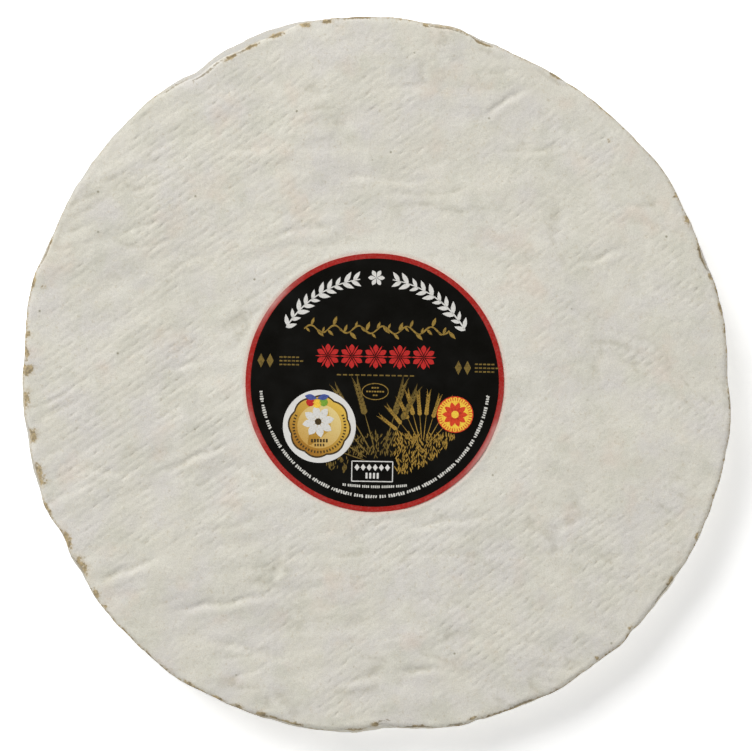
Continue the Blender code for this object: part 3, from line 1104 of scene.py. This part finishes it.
@dataclass
class RoundPaper:
    """A round of thin paper, built from a circle by rings that grow outwards."""

    lay: PaperLay
    middle: Vector
    name: str
    thickness: float
    segments: int
    ring_step: float
    # Where the bent edge gets a painted highlight: direction, how pale and half width
    edge_highlights: tuple = ((142, 0.55, 11), (329, 0.62, 15), (198, 0.25, 10))

    def build(self, materials: Sequence[bpy.types.Material], band: float) -> bpy.types.Object:
        """Builds the round.

        Args:
            materials: the field's, the outer band's and the cut edge's and underside's.
            band: the width of the outer band.

        Returns:
            The finished round.
        """
        field_radius = self.lay.radius - band
        rings = max(2, round(field_radius / self.ring_step))
        radii = [field_radius * index / rings for index in range(1, rings + 1)]
        radii += [field_radius + band * index / 3 for index in range(1, 4)]
        pick()
        bpy.ops.mesh.primitive_circle_add(vertices=self.segments, radius=radii[0], fill_type="TRIFAN")
        paper = bpy.context.object
        paper.name = self.name
        edit_all()
        bpy.ops.mesh.region_to_loop()
        grow_rings(radii)
        face_outwards()
        for item in materials:
            paper.data.materials.append(item)
        for face in paper.data.polygons:
            face.material_index = int(math.hypot(*face.center.xy) > field_radius)
        if paper.data.polygons[0].normal.z < 0:
            paper.data.flip_normals()
        self.drape(paper)
        solidify = paper.modifiers.new("thickness", "SOLIDIFY")
        solidify.thickness = self.thickness
        solidify.offset = -1
        solidify.material_offset = 2
        solidify.material_offset_rim = 2
        pick(paper)
        bpy.ops.object.modifier_apply(modifier=solidify.name)
        bpy.ops.object.shade_smooth_by_angle(angle=math.radians(40))
        return paper

    def drape(self, paper: bpy.types.Object) -> None:
        """Lays the flat round on the wheel and notes where its bent edge gets a painted highlight."""
        bend_highlights = []
        x0, y0 = self.lay.centre
        for vertex in paper.data.vertices:
            x, y = vertex.co.xy
            reach = math.hypot(x, y) / self.lay.radius
            direction = math.degrees(math.atan2(y, x))
            cut = 1 + 0.0022 * reach**6 * noise_at(x, y, 0, 24 * MM, Seed.PAPER + 5)
            x, y = x0 + x * cut, y0 + y * cut
            vertex.co = Vector((x, y, self.lay.height(x, y))) - self.middle
            bend_highlights.append(smooth_step((reach - 0.955) / 0.035) * self.bend_highlight(direction))
        add_layer(paper, "bend_highlight", bend_highlights)

    def bend_highlight(self, direction: float) -> float:
        """Returns how strong the painted highlight on the bent edge is in that direction."""
        pale = sum(share * bell(direction, centre, half_width) for centre, share, half_width in self.edge_highlights)
        return pale * (0.7 + 0.6 * noise_at(direction, 0, 0, 6.0, Seed.PAPER))


class Ink(Enum):
    """The inks on the label and the sticker: the film's colour and the tone of its thin places."""

    WHITE = ("E0DED9", "CCC9C0")
    SMALL_WHITE = ("DAD8D0", "AEABA2")
    GOLD = ("9C7F3A", "6A5424")
    DULL_GOLD = ("7E6830", "4E3F1C")
    FIELD_GOLD = ("B08C3C", "7A5F28")
    RED = ("C42A26", "A01E1B")
    SEAL_RED = ("DC4526", "C0321C")
    YELLOW = ("F7D048", "E8A52E")
    MEDAL_GOLD = ("E0BA50", "965E1A")
    MEDAL_YELLOW = ("EAD692", "C08C2E")
    BROWN = ("4A3A1C", "2E2412")
    GREEN = ("7FA83A", "5C8A2C")
    BLUE = ("4F5E9E", "39467E")

    @property
    def fades(self) -> bool:
        """Says whether the ink runs from its first tone, at the upper right, to its second."""
        return self in (Ink.MEDAL_GOLD, Ink.MEDAL_YELLOW)


@dataclass(frozen=True)
class PrintedInk:
    """Offset ink on the varnished label: a thin film with a fine, uneven grain."""

    ink: Ink
    middle: Vector
    grain: float = 0.8 * MM
    fade_reach: float = 14.0 * MM
    fade_way: Point = (-0.6, -0.8)
    roughness: float = 0.42

    def material(self) -> bpy.types.Material:
        """Returns the ink's material."""
        made, add, shader = start_material(f"{self.ink.name.lower()}_offset_ink")
        where = add("TexCoord", output="Object")
        noisy = add("TexNoise", {"Vector": where, "Scale": 1 / self.grain, "Detail": 3.0})
        grain = add("MapRange", (noisy, 0.45, 0.75))
        if self.ink.fades:
            way = Vector((*self.fade_way, 0))
            along = add("VectorMath", (where, way), "Value", operation="DOT_PRODUCT")
            centre = self.middle.dot(way)
            fade = add("MapRange", (along, centre - self.fade_reach, centre + self.fade_reach, 0.0, 0.85))
            grain = add("Math", (grain, 0.15, fade), operation="MULTIPLY_ADD")
        film, thin = self.ink.value
        tones = {0: grain, 6: linear(film), 7: linear(thin)}
        looks = {
            "Base Color": add("Mix", tones, 2, data_type="RGBA"),
            "Normal": add("Bump", {"Height": grain, "Strength": 0.1, "Distance": 0.02 * MM}),
            "Roughness": self.roughness,
            "Specular IOR Level": 0.35,
        }
        fill_inputs(shader, looks)
        return made


def thickened() -> bpy.types.Object:
    """Returns the flat object just made with a thickness: its faces lie at height 0 and at height 1."""
    edit_all()
    bpy.ops.mesh.extrude_region_move(TRANSFORM_OT_translate={"value": (0, 0, 1)})
    face_outwards()
    return bpy.context.object


def flat_shape(outline: Sequence[Point]) -> bpy.types.Object:
    """Cuts a flat shape from a filled circle.

    Args:
        outline: its corners in millimetres, counter-clockwise.

    Returns:
        The shape, 1 high.
    """
    pick()
    bpy.ops.mesh.primitive_circle_add(vertices=len(outline), radius=1, fill_type="NGON")
    for vertex, (x, y) in zip(bpy.context.object.data.vertices, outline):
        vertex.co = (x, y, 0)
    return thickened()


def flat_ribbon(path: Sequence[Point], widths: Sequence[float]) -> bpy.types.Object:
    """Bends a narrow grid along a path.

    Args:
        path: the points of its middle line in millimetres.
        widths: its width at each point.

    Returns:
        The ribbon, 1 high.
    """
    pick()
    steps = len(path) - 1
    bpy.ops.mesh.primitive_grid_add(x_subdivisions=steps, y_subdivisions=1, size=1)
    for vertex in bpy.context.object.data.vertices:
        index = round((vertex.co.x + 0.5) * steps)
        way = (Vector(path[min(steps, index + 1)]) - Vector(path[max(0, index - 1)])).normalized()
        side = Vector((-way.y, way.x)) * math.copysign(widths[index] / 2, vertex.co.y)
        vertex.co = (*(Vector(path[index]) + side), 0)
    return thickened()


def leaf_outline(length: float, width: float, corners: int = 12, fullness: float = 1.0) -> list[Point]:
    """Draws a pointed leaf that starts at the origin and grows along +X.

    Args:
        length, width: the leaf's size.
        corners: how many corners it has.
        fullness: above 1 the widest place moves towards the tip.

    Returns:
        The corners, counter-clockwise.
    """
    shares = [index / (corners // 2) for index in range(corners // 2 + 1)]
    upper = [(length * share, width / 2 * math.sin(math.pi * share**fullness)) for share in shares]
    return [(x, -y) for x, y in upper] + upper[-2:0:-1]


def bar_outline(length: float, width: float) -> list[Point]:
    """Returns a bar with clipped corners, its middle at the origin."""
    x, y = length / 2, width / 2
    clip = 0.3 * min(x, y)
    corners = []
    for side_x, side_y in ((1, -1), (1, 1), (-1, 1), (-1, -1)):
        pair = [(side_x * (x - clip), side_y * y), (side_x * x, side_y * (y - clip))]
        corners += pair if side_x * side_y < 0 else pair[::-1]
    return corners


def round_outline(
    radius_x: float, radius_y: float, corners: int, scallops: int = 0, depth: float = 0.0
) -> list[Point]:
    """Draws an oval, with a scalloped edge where asked.

    Args:
        radius_x, radius_y: its radii.
        corners: how many corners it has.
        scallops: how many scallops go round it.
        depth: how deep they are, as a share of the radius.

    Returns:
        The corners, counter-clockwise.
    """
    found = []
    for index in range(corners):
        turn = 360 * index / corners
        scallop = depth * (1 - abs(math.cos(math.radians(scallops * turn / 2)))) if scallops else 0.0
        x, y = polar(1 - scallop, turn)
        found.append((radius_x * x, radius_y * y))
    return found


def place_at(x: float, y: float, turn: float = 0.0, scale: float = 1.0) -> Matrix:
    """Gives where a motif goes.

    Args:
        x, y: its place in millimetres.
        turn: how far it is turned, in degrees.
        scale: how much larger it is.

    Returns:
        The placing matrix.
    """
    turned = Matrix.Rotation(math.radians(turn), 4, "Z")
    return Matrix.Translation((x, y, 0)) @ turned @ Matrix.Diagonal((scale, scale, 1, 1))


def ring_places(
    x: float, y: float, radius: float, turns: Iterable[float], spin: float = 0.0, scale: float = 1.0
) -> list[Matrix]:
    """Gives the places of motifs that stand round a point.

    Args:
        x, y: the point.
        radius: how far off it they stand.
        turns: the direction of each.
        spin: how far each is turned from facing outwards.
        scale: how much larger each is.

    Returns:
        The placing matrices.
    """
    spots = [(turn, polar(radius, turn)) for turn in turns]
    return [place_at(x + near, y + up, turn + spin, scale) for turn, (near, up) in spots]


def row_places(x: float, y: float, pitch: float, count: int, scale: float = 1.0) -> list[Matrix]:
    """Gives the places of motifs in a row along x.

    Args:
        x, y: the row's middle.
        pitch: how far each is from the next.
        count: how many there are.
        scale: how much larger each is.

    Returns:
        The placing matrices.
    """
    return [place_at(x + pitch * (index - (count - 1) / 2), y, 0, scale) for index in range(count)]


@dataclass
class InkPrinter:
    """Prints flat motifs on a round paper: each print is one thin piece that follows the paper."""

    lay: PaperLay
    middle: Vector
    print_turn: float
    slot: str
    inks: dict[Ink, bpy.types.Material]
    film: float = 0.035 * MM

    def material(self, ink: Ink) -> bpy.types.Material:
        """Returns the ink's material, made when it is first asked for."""
        if ink not in self.inks:
            centre = Vector((*self.lay.centre, 0)) - self.middle
            self.inks[ink] = PrintedInk(ink, centre).material()
        return self.inks[ink]

    def press(
        self, name: str, ink: Ink, *motifs: tuple[bpy.types.Object, Iterable[Matrix]], layer: int = 0
    ) -> None:
        """Prints copies of motifs as one piece.

        Args:
            name: the piece's name.
            ink: its ink.
            motifs: each motif with the places of its copies, in millimetres from the frame's origin.
            layer: how many films of ink lie below it.
        """
        sheet = bmesh.new()
        for motif, places in motifs:
            for place in places:
                start = len(sheet.verts)
                sheet.from_mesh(motif.data)
                sheet.verts.ensure_lookup_table()
                bmesh.ops.transform(sheet, matrix=place, verts=sheet.verts[start:])
            bpy.data.objects.remove(motif)
        x0, y0 = self.lay.centre
        for vertex in sheet.verts:
            x, y = along_and_across(vertex.co.x * MM - x0, vertex.co.y * MM - y0, -self.print_turn)
            x, y = x + x0, y + y0
            lift = self.film * (layer + 1) if vertex.co.z > 0.5 else -self.film
            vertex.co = Vector((x, y, self.lay.height(x, y) + lift)) - self.middle
        mesh = bpy.data.meshes.new(name)
        sheet.to_mesh(mesh)
        sheet.free()
        mesh.materials.append(self.material(ink))
        piece = bpy.data.objects.new(name, mesh)
        bpy.context.scene.collection.objects.link(piece)
        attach(piece, BODY)
        log.info("%s: %d faces in %s ink", name, len(mesh.polygons), ink.name.lower())


@dataclass
class LabelPrint:
    """The label's print, in millimetres: a leaf garland, a vine, a row of flowers, wheat and ornaments."""

    printer: InkPrinter
    centre: Point = (-0.9, -4.05)
    garland_radius: float = 53.2
    vine_height: float = 22.9
    vine_swing: float = 1.9
    vine_wave: float = 12.3
    row_middle: float = -0.6
    flower_height: float = 9.2
    foot_radius: float = 58.1
    box_middle: Point = (-1.4, -49.3)

    def build(self) -> None:
        """Prints every motif of the label."""
        self.garland()
        self.vine()
        self.flowers()
        self.side_marks()
        self.oval()
        self.wheat()
        self.seal()
        self.box()
        self.small_rows()

    def around(self, radius: float, direction: float) -> Point:
        """Returns the point at that radius and direction from the label's middle."""
        x, y = polar(radius, direction)
        return self.centre[0] + x, self.centre[1] + y

    def on_arc(self, radius: float, direction: float, turn: float, scale: float = 1.0) -> Matrix:
        """Places a motif on an arc round the label's middle.

        Args:
            radius: the arc's radius.
            direction: where on the arc.
            turn: how far the motif is turned from the arc's outward way.
            scale: how much larger it is.

        Returns:
            The placing matrix.
        """
        return place_at(*self.around(radius, direction), direction + turn, scale)

    def garland(self) -> None:
        """Prints two white branches that meet in a flower at the top of the label."""
        leaf = flat_shape(leaf_outline(7.0, 2.5, 14, 0.85))
        petal = flat_shape(leaf_outline(4.3, 2.2, 12, 1.4))
        stems = []
        leaves = []
        for side in (-1, 1):
            path = [self.around(self.garland_radius, 90 + side * (9 + index * 3.1)) for index in range(17)]
            stems.append((flat_ribbon(path, [0.5 + 0.3 * index / 16 for index in range(17)]), [Matrix()]))
            for index in range(10):
                direction = 90 + side * (13.5 + index * 5.0)
                size = 0.86 + 0.12 * math.sin(index * 2.1)
                for lean in (-1, 1):
                    # Leaves point up the branch, towards the flower
                    turn = -side * 90 - side * lean * 42
                    radius = self.garland_radius + lean * 0.2
                    leaves.append(self.on_arc(radius, direction + side * 0.6 * lean, turn, size))
        petals = [self.on_arc(53.4, 90, 60 * index + 30) for index in range(6)]
        self.printer.press("white_leaf_garland", Ink.WHITE, (leaf, leaves), (petal, petals), *stems)

    def vine_point(self, x: float) -> Point:
        """Returns the vine's point there."""
        return x - 0.3, self.vine_height + self.vine_swing * math.sin(2 * math.pi * x / self.vine_wave)

    def vine(self) -> None:
        """Prints a gold vine with small leaves in a line below the garland."""
        path = [self.vine_point(-37.0 + 74 * index / 96) for index in range(97)]
        stem = flat_ribbon(path, [0.5 + 0.45 * abs(math.sin(index * 0.41)) for index in range(97)])
        leaf = flat_shape(leaf_outline(4.0, 1.45, 10, 0.9))
        leaves = []
        for index in range(27):
            side = 1 if index % 2 else -1
            x, y = self.vine_point(-36.2 + 2.8 * index)
            leaves.append(place_at(x, y, 58 * side + 12, 0.8 + 0.25 * (index % 3)))
        self.printer.press("gold_vine", Ink.GOLD, (stem, [Matrix()]), (leaf, leaves))

    def flowers(self) -> None:
        """Prints the row of five red flowers, with fine gold dashes below it."""
        petal = flat_shape(leaf_outline(5.1, 2.7, 14, 1.5))
        sepal = flat_shape(leaf_outline(6.9, 0.9, 8, 1.2))
        petals = []
        sepals = []
        for index in range(5):
            x = self.row_middle + 12.2 * (index - 2)
            petals += ring_places(x, self.flower_height, 1.1, range(30, 390, 60))
            sepals += ring_places(x, self.flower_height, 0.0, range(60, 420, 60), 0.0, 0.94)
        self.printer.press("red_flowers", Ink.RED, (petal, petals), (sepal, sepals))
        dash = flat_shape(bar_outline(2.2, 0.7))
        self.printer.press("gold_dashes", Ink.DULL_GOLD, (dash, row_places(self.row_middle, -0.3, 3.1, 13)))

    def side_marks(self) -> None:
        """Prints a pair of gold lozenges with three bars at each side of the label."""
        lozenge = flat_shape(round_outline(1.8, 3.6, 4))
        bar = flat_shape(bar_outline(1.6, 0.75))
        lozenges = row_places(-56.7, 6.3, 4.6, 2) + row_places(43.9, 4.3, 4.6, 2)
        bars = []
        for x, y in ((-43.6, 6.3), (56.0, 4.3)):
            for step in (-1, 0, 1):
                bars += row_places(x - 1.05 * abs(step), y + 1.9 * step, 2.1, 6 - abs(step))
        self.printer.press("gold_side_lozenges", Ink.DULL_GOLD, (lozenge, lozenges))
        self.printer.press("gold_side_bars", Ink.DULL_GOLD, (bar, bars))

    def oval(self) -> None:
        """Prints the small gold oval with three rows of bars in it."""
        x, y = self.row_middle, -8.6
        unit = [polar(1.0, 5 * index) for index in range(73)]
        ring = flat_ribbon([(x + 6.7 * right, y + 4.1 * up) for right, up in unit], [0.4] * 73)
        bar = flat_shape(bar_outline(1.0, 0.75))
        bars = []
        for row, count in ((1.9, 3), (0.0, 7), (-1.9, 2)):
            bars += row_places(x, y + row, 1.35, count)
        self.printer.press("gold_oval", Ink.GOLD, (ring, [Matrix()]), (bar, bars))

    def wheat(self) -> None:
        """Prints a fan of wheat behind the box, a sheaf at its right and a field of short blades."""
        chance = random.Random(29)
        leans = (-72, -58, -44, -31, -18, 15, 28)
        self.sheaf("gold_wheat_fan", Ink.DULL_GOLD, Vector((2.0, -46.0)), leans, 1.28, chance)
        leans = (-52, -39, -27, -16, -5, 6, 17, 29, 42)
        self.sheaf("gold_wheat_sheaf", Ink.FIELD_GOLD, Vector((24.0, -38.0)), leans, 0.85, chance)
        fields: dict[bool, list[Matrix]] = {False: [], True: []}
        for _ in range(1300):
            x = chance.uniform(-42, 44)
            y = chance.uniform(-51, -31)
            lush = x > 9
            in_box = abs(x - self.box_middle[0]) < 12.5 and y < -43
            in_sticker = math.hypot(x + 29.1, y + 26.3) < 19
            outside = math.hypot(x - self.centre[0], y - self.centre[1]) > 50
            if in_box or in_sticker or outside or chance.random() < (0.0 if lush else 0.5):
                continue
            fields[lush].append(place_at(x, y, 90 + chance.uniform(-35, 35), chance.uniform(0.6, 1.1)))
        for name, ink, lush in (("right", Ink.FIELD_GOLD, True), ("left", Ink.DULL_GOLD, False)):
            blade = flat_shape(leaf_outline(3.0, 0.6, 6, 0.8))
            self.printer.press(f"gold_field_{name}", ink, (blade, fields[lush]))

    def sheaf(
        self, name: str, ink: Ink, root: Vector, leans: Sequence[float], size: float, chance: random.Random
    ) -> None:
        """Prints ears of wheat that spread from one place.

        Args:
            name: the piece's name.
            ink: its ink.
            root: where the stalks meet.
            leans: how far each stalk leans to the right, in degrees.
            size: how large the ears are.
            chance: gives each ear its own turn and size.
        """
        grain = flat_shape(leaf_outline(2.7, 1.35, 8, 1.0))
        awn = flat_shape(leaf_outline(5.2, 0.34, 6, 1.0))
        stalk = flat_shape(leaf_outline(24.0, 0.6, 16, 0.6))
        grains = []
        awns = []
        stalks = []
        for lean in leans:
            turn = 90 - lean + chance.uniform(-2, 2)
            own = size * (1 - 0.002 * abs(lean)) + chance.uniform(-0.06, 0.06)
            way = Vector(polar(1.0, turn))
            base = root + way * 5.5 * size
            stalks.append(place_at(base.x, base.y, turn, 0.82 * own))
            for index in range(8):
                spot = base + way * (16.0 + 1.7 * index) * own
                for side in (-1, 1):
                    grains.append(place_at(spot.x, spot.y, turn + side * 27, own * (1 - 0.04 * index)))
                    if index > 2:
                        awns.append(place_at(spot.x, spot.y, turn + side * 15, own))
        self.printer.press(name, ink, (grain, grains), (awn, awns), (stalk, stalks))

    def seal(self) -> None:
        """Prints the yellow and red roundel: fine red rays round its edge and a red rosette in it."""
        x, y = 40.3, -19.6
        here = [place_at(x, y)]
        edge = flat_shape(round_outline(9.3, 9.3, 48))
        self.printer.press("roundel_red_edge", Ink.SEAL_RED, (edge, here), layer=1)
        disc = flat_shape(round_outline(8.9, 8.9, 96, 24, 0.05))
        self.printer.press("roundel_yellow", Ink.YELLOW, (disc, here), layer=2)
        petals = (flat_shape(leaf_outline(6.6, 2.7, 14, 1.3)), ring_places(x, y, 0.0, range(0, 360, 36)))
        rays = (flat_shape(bar_outline(1.5, 0.45)), ring_places(x, y, 7.8, range(0, 360, 9)))
        self.printer.press("roundel_rosette", Ink.SEAL_RED, petals, rays, layer=3)
        heart = flat_shape(round_outline(1.9, 1.9, 20))
        self.printer.press("roundel_heart", Ink.YELLOW, (heart, here), layer=4)

    def box(self) -> None:
        """Prints the white outlined box with two rows of small blocks."""
        x, y = self.box_middle
        ways = ((-1, -1), (1, -1), (1, 1), (-1, 1))
        corners = [Vector((x + right * 10.4, y + up * 5.1)) for right, up in ways]
        sides = []
        for start, end in zip(corners, corners[1:] + corners[:1]):
            path = [start.lerp(end, step / 8) for step in range(9)]
            sides.append((flat_ribbon(path, [0.5] * 9), [Matrix()]))
        blocks = (flat_shape(round_outline(1.3, 1.75, 4)), row_places(x, y + 2.0, 3.1, 6))
        bars = (flat_shape(bar_outline(1.15, 3.3)), row_places(x, y - 2.2, 1.9, 4, 0.9))
        self.printer.press("white_box", Ink.WHITE, *sides, blocks, bars)

    def small_rows(self) -> None:
        """Prints the row of small white dashes under the box and the long one round the label's foot."""
        chance = random.Random(7)
        dashes = []
        direction = 185.5
        while direction < 352.5:
            for _ in range(chance.randint(3, 9)):
                turn = 90 + chance.choice((0, 0, 18, -18))
                dashes.append(self.on_arc(self.foot_radius, direction, turn, chance.uniform(0.75, 1.05)))
                direction += 1.22
            direction += 0.9
        x = -16.0
        while x < 14.0:
            for _ in range(chance.randint(2, 7)):
                dashes.append(place_at(x, -57.1 + 0.0036 * x * x, 0, 0.72))
                x += 0.95
            x += 0.7
        dash = flat_shape(bar_outline(0.9, 1.8))
        self.printer.press("small_white_dashes", Ink.SMALL_WHITE, (dash, dashes))


@dataclass
class StickerPrint:
    """The sticker's print: a scalloped gold medal with a white flower, berries and blue leaves."""

    printer: InkPrinter
    centre: Point = (-29.1, -26.3)

    def build(self) -> None:
        """Prints every motif of the sticker."""
        x, y = self.centre
        here = [place_at(x, y, -8)]
        rounds = (
            ("medal_dark_edge", Ink.BROWN, round_outline(16.2, 16.2, 96, 8, 0.07)),
            ("medal_gold_disc", Ink.MEDAL_GOLD, round_outline(15.3, 15.3, 96, 8, 0.07)),
            ("medal_pale_field", Ink.MEDAL_YELLOW, round_outline(11.2, 11.2, 64)),
        )
        for layer, (name, ink, outline) in enumerate(rounds):
            self.printer.press(name, ink, (flat_shape(outline), here), layer=layer)
        petal = flat_shape(leaf_outline(8.2, 3.9, 14, 1.5))
        petals = ring_places(x - 0.6, y + 2.4, 0.0, range(10, 370, 45))
        self.printer.press("medal_white_flower", Ink.WHITE, (petal, petals), layer=3)
        turns = [155 + 230 * index / 33 for index in range(34)]
        dashes = (flat_shape(bar_outline(0.8, 1.4)), ring_places(x, y, 13.1, turns, 90, 0.9))
        rows = row_places(x, y - 7.3, 1.5, 6) + row_places(x, y - 9.5, 1.4, 4, 0.75)
        blocks = (flat_shape(bar_outline(1.05, 1.8)), rows)
        heart = (flat_shape(round_outline(1.7, 1.7, 20)), [place_at(x - 0.6, y + 2.4)])
        self.printer.press("medal_brown_dashes", Ink.BROWN, dashes, blocks, heart, layer=4)
        for ink, right, up in ((Ink.RED, -4.6, 12.3), (Ink.YELLOW, -1.2, 11.4), (Ink.GREEN, 2.2, 12.3)):
            berry = (flat_shape(round_outline(2.1, 2.1, 24)), [place_at(x + right, y + up)])
            self.printer.press(f"medal_{ink.name.lower()}_berry", ink, berry, layer=4)
        leaves = (flat_shape(leaf_outline(6.4, 3.0, 12, 1.1)), ring_places(x - 1.2, y + 14.2, 0.0, (168, 12)))
        self.printer.press("medal_blue_leaves", Ink.BLUE, leaves, layer=5)


@dataclass
class Studio:
    """A pale floor, soft light from the upper left with a weaker fill, and a camera straight above."""

    image_width: int = 752
    pixel: float = 0.5116 * MM
    # The wheel's middle lies half a pixel right of and above the picture's
    camera_offset: Point = (-0.26 * MM, -0.26 * MM)
    camera_distance: float = 4.0
    outline_height: float = 11.0 * MM
    sensor: float = 36.0

    def build(self) -> None:
        """Sets up the floor, the lights, the sky and the camera."""
        self.floor()
        self.sky()
        self.softbox("key_softbox", 228.0, 3.2, 4.2, 50, 130)
        self.softbox("fill_softbox", 30.0, 2.4, 3.2, 52, -40)
        self.camera()
        bpy.context.scene.view_settings.view_transform = "Standard"
        bpy.context.scene.view_settings.look = "None"

    def floor(self) -> None:
        """Lays a large pale floor."""
        pick()
        bpy.ops.mesh.primitive_plane_add(size=8, location=(0, 0, 0))
        floor = bpy.context.object
        floor.name = "studio_floor"
        made, _, shader = start_material("pale_studio_floor")
        # A faint glow from below, as on a light table, keeps the wheel's own shadow pale
        glow = {"Emission Color": linear("FFFFFF"), "Emission Strength": 0.45}
        paint = {"Base Color": linear("FDFDFC"), "Roughness": 0.9, "Specular IOR Level": 0.1}
        fill_inputs(shader, {**glow, **paint})
        floor.data.materials.append(made)

    def sky(self) -> None:
        """Gives the room a glow that is dim overhead, so the label stays black, and dimmer low down."""
        world = bpy.data.worlds.new("studio_room")
        world.use_nodes = True
        add = partial(add_node, world.node_tree)
        height = add("SeparateXYZ", (add("TexCoord", output="Generated"),), "Z")
        glow = add("MapRange", (height, 0.7, 0.93, 1.46, 0.03))
        low = add("MapRange", (height, 0.0, 0.35, 0.4))
        glow = add("Math", (glow, low), operation="MULTIPLY")
        fill_inputs(world.node_tree.nodes["Background"], {"Strength": glow})
        bpy.context.scene.world = world

    def softbox(
        self, name: str, power: float, size: float, distance: float, tilt: float, direction: float
    ) -> None:
        """Hangs a softbox that faces the wheel.

        Args:
            name: the light's name.
            power: its power in watts.
            size: its width.
            distance: how far off it hangs.
            tilt: how far it stands from straight above, in degrees.
            direction: the way that it stands, in degrees.
        """
        light = bpy.data.lights.new(name, "AREA")
        light.energy = power
        light.size = size
        lamp = bpy.data.objects.new(name, light)
        bpy.context.scene.collection.objects.link(lamp)
        way = Vector((*polar(math.sin(math.radians(tilt)), direction), math.cos(math.radians(tilt))))
        lamp.rotation_mode = "QUATERNION"
        lamp.rotation_quaternion = way.to_track_quat("Z", "Y")
        lamp.location = way * distance

    def camera(self) -> None:
        """Sets the camera straight above the wheel, with the picture's frame."""
        eye = bpy.data.cameras.new("camera")
        eye.sensor_fit = "HORIZONTAL"
        eye.sensor_width = self.sensor
        eye.lens = self.sensor * self.camera_distance / (self.image_width * self.pixel)
        eye.clip_end = 20
        camera = bpy.data.objects.new("camera", eye)
        bpy.context.scene.collection.objects.link(camera)
        camera.location = (*self.camera_offset, self.outline_height + self.camera_distance)
        bpy.context.scene.camera = camera


def main() -> None:
    """Builds and dresses the pieces in order."""
    logging.basicConfig(level=logging.INFO, format="%(name)s: %(message)s")
    form = WheelForm()
    low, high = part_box("paper_label")
    box_middle = (low + high) / 2
    # The solids were centred on the wheel's bounding box after they were worked out
    middle = Vector((form.label_centre[0] - box_middle.x, form.label_centre[1] - box_middle.y, 0))

    wheel = BrieWheel(form, middle, top_folds()).build()
    log.info("brie_rind: %d triangles", sum(len(face.vertices) - 2 for face in wheel.data.polygons))

    stock = CoatedPaper("white_label_paper_stock", "E6E2D8", "E6E2D8").material()
    black = CoatedPaper("black_varnished_label_paper", "0F0E0B", "24231F", 0.3, 0.2).material()
    # The red paper's second tone is the pale pink of a painted highlight where the label's edge bends
    red = CoatedPaper("red_varnished_label_paper", "A5211B", "E8C4BC", 0.34).material()
    lay = PaperLay(form, form.label_centre, form.label_radius, 0.42 * MM, 0.35 * MM, 17 * MM, 0.8)
    round_paper = RoundPaper(lay, middle, "label_paper", 0.2 * MM, 240, 1.6 * MM)
    label = round_paper.build((black, red, stock), 2.6 * MM)
    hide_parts("paper_label")
    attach(label, BODY)
    log.info("label_paper: %d faces", len(label.data.polygons))
    inks: dict[Ink, bpy.types.Material] = {}
    LabelPrint(InkPrinter(lay, middle, -1.0, "label_paper", inks)).build()

    white = CoatedPaper("white_sticker_paper", "E1DFDA", "CBC7BF", 0.38).material()
    lay = PaperLay(form, (-29.1 * MM, -26.3 * MM), 18.6 * MM, 0.62 * MM, 0.1 * MM, 15 * MM, 0.5)
    round_paper = RoundPaper(lay, middle, "sticker_paper", 0.16 * MM, 120, 1.8 * MM)
    sticker = round_paper.build((white, white, stock), 1.5 * MM)
    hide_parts("round_sticker")
    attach(sticker, BODY)
    log.info("sticker_paper: %d faces", len(sticker.data.polygons))
    StickerPrint(InkPrinter(lay, middle, 0.0, "sticker_paper", inks)).build()

    Studio().build()


if __name__ == "__main__":
    main()
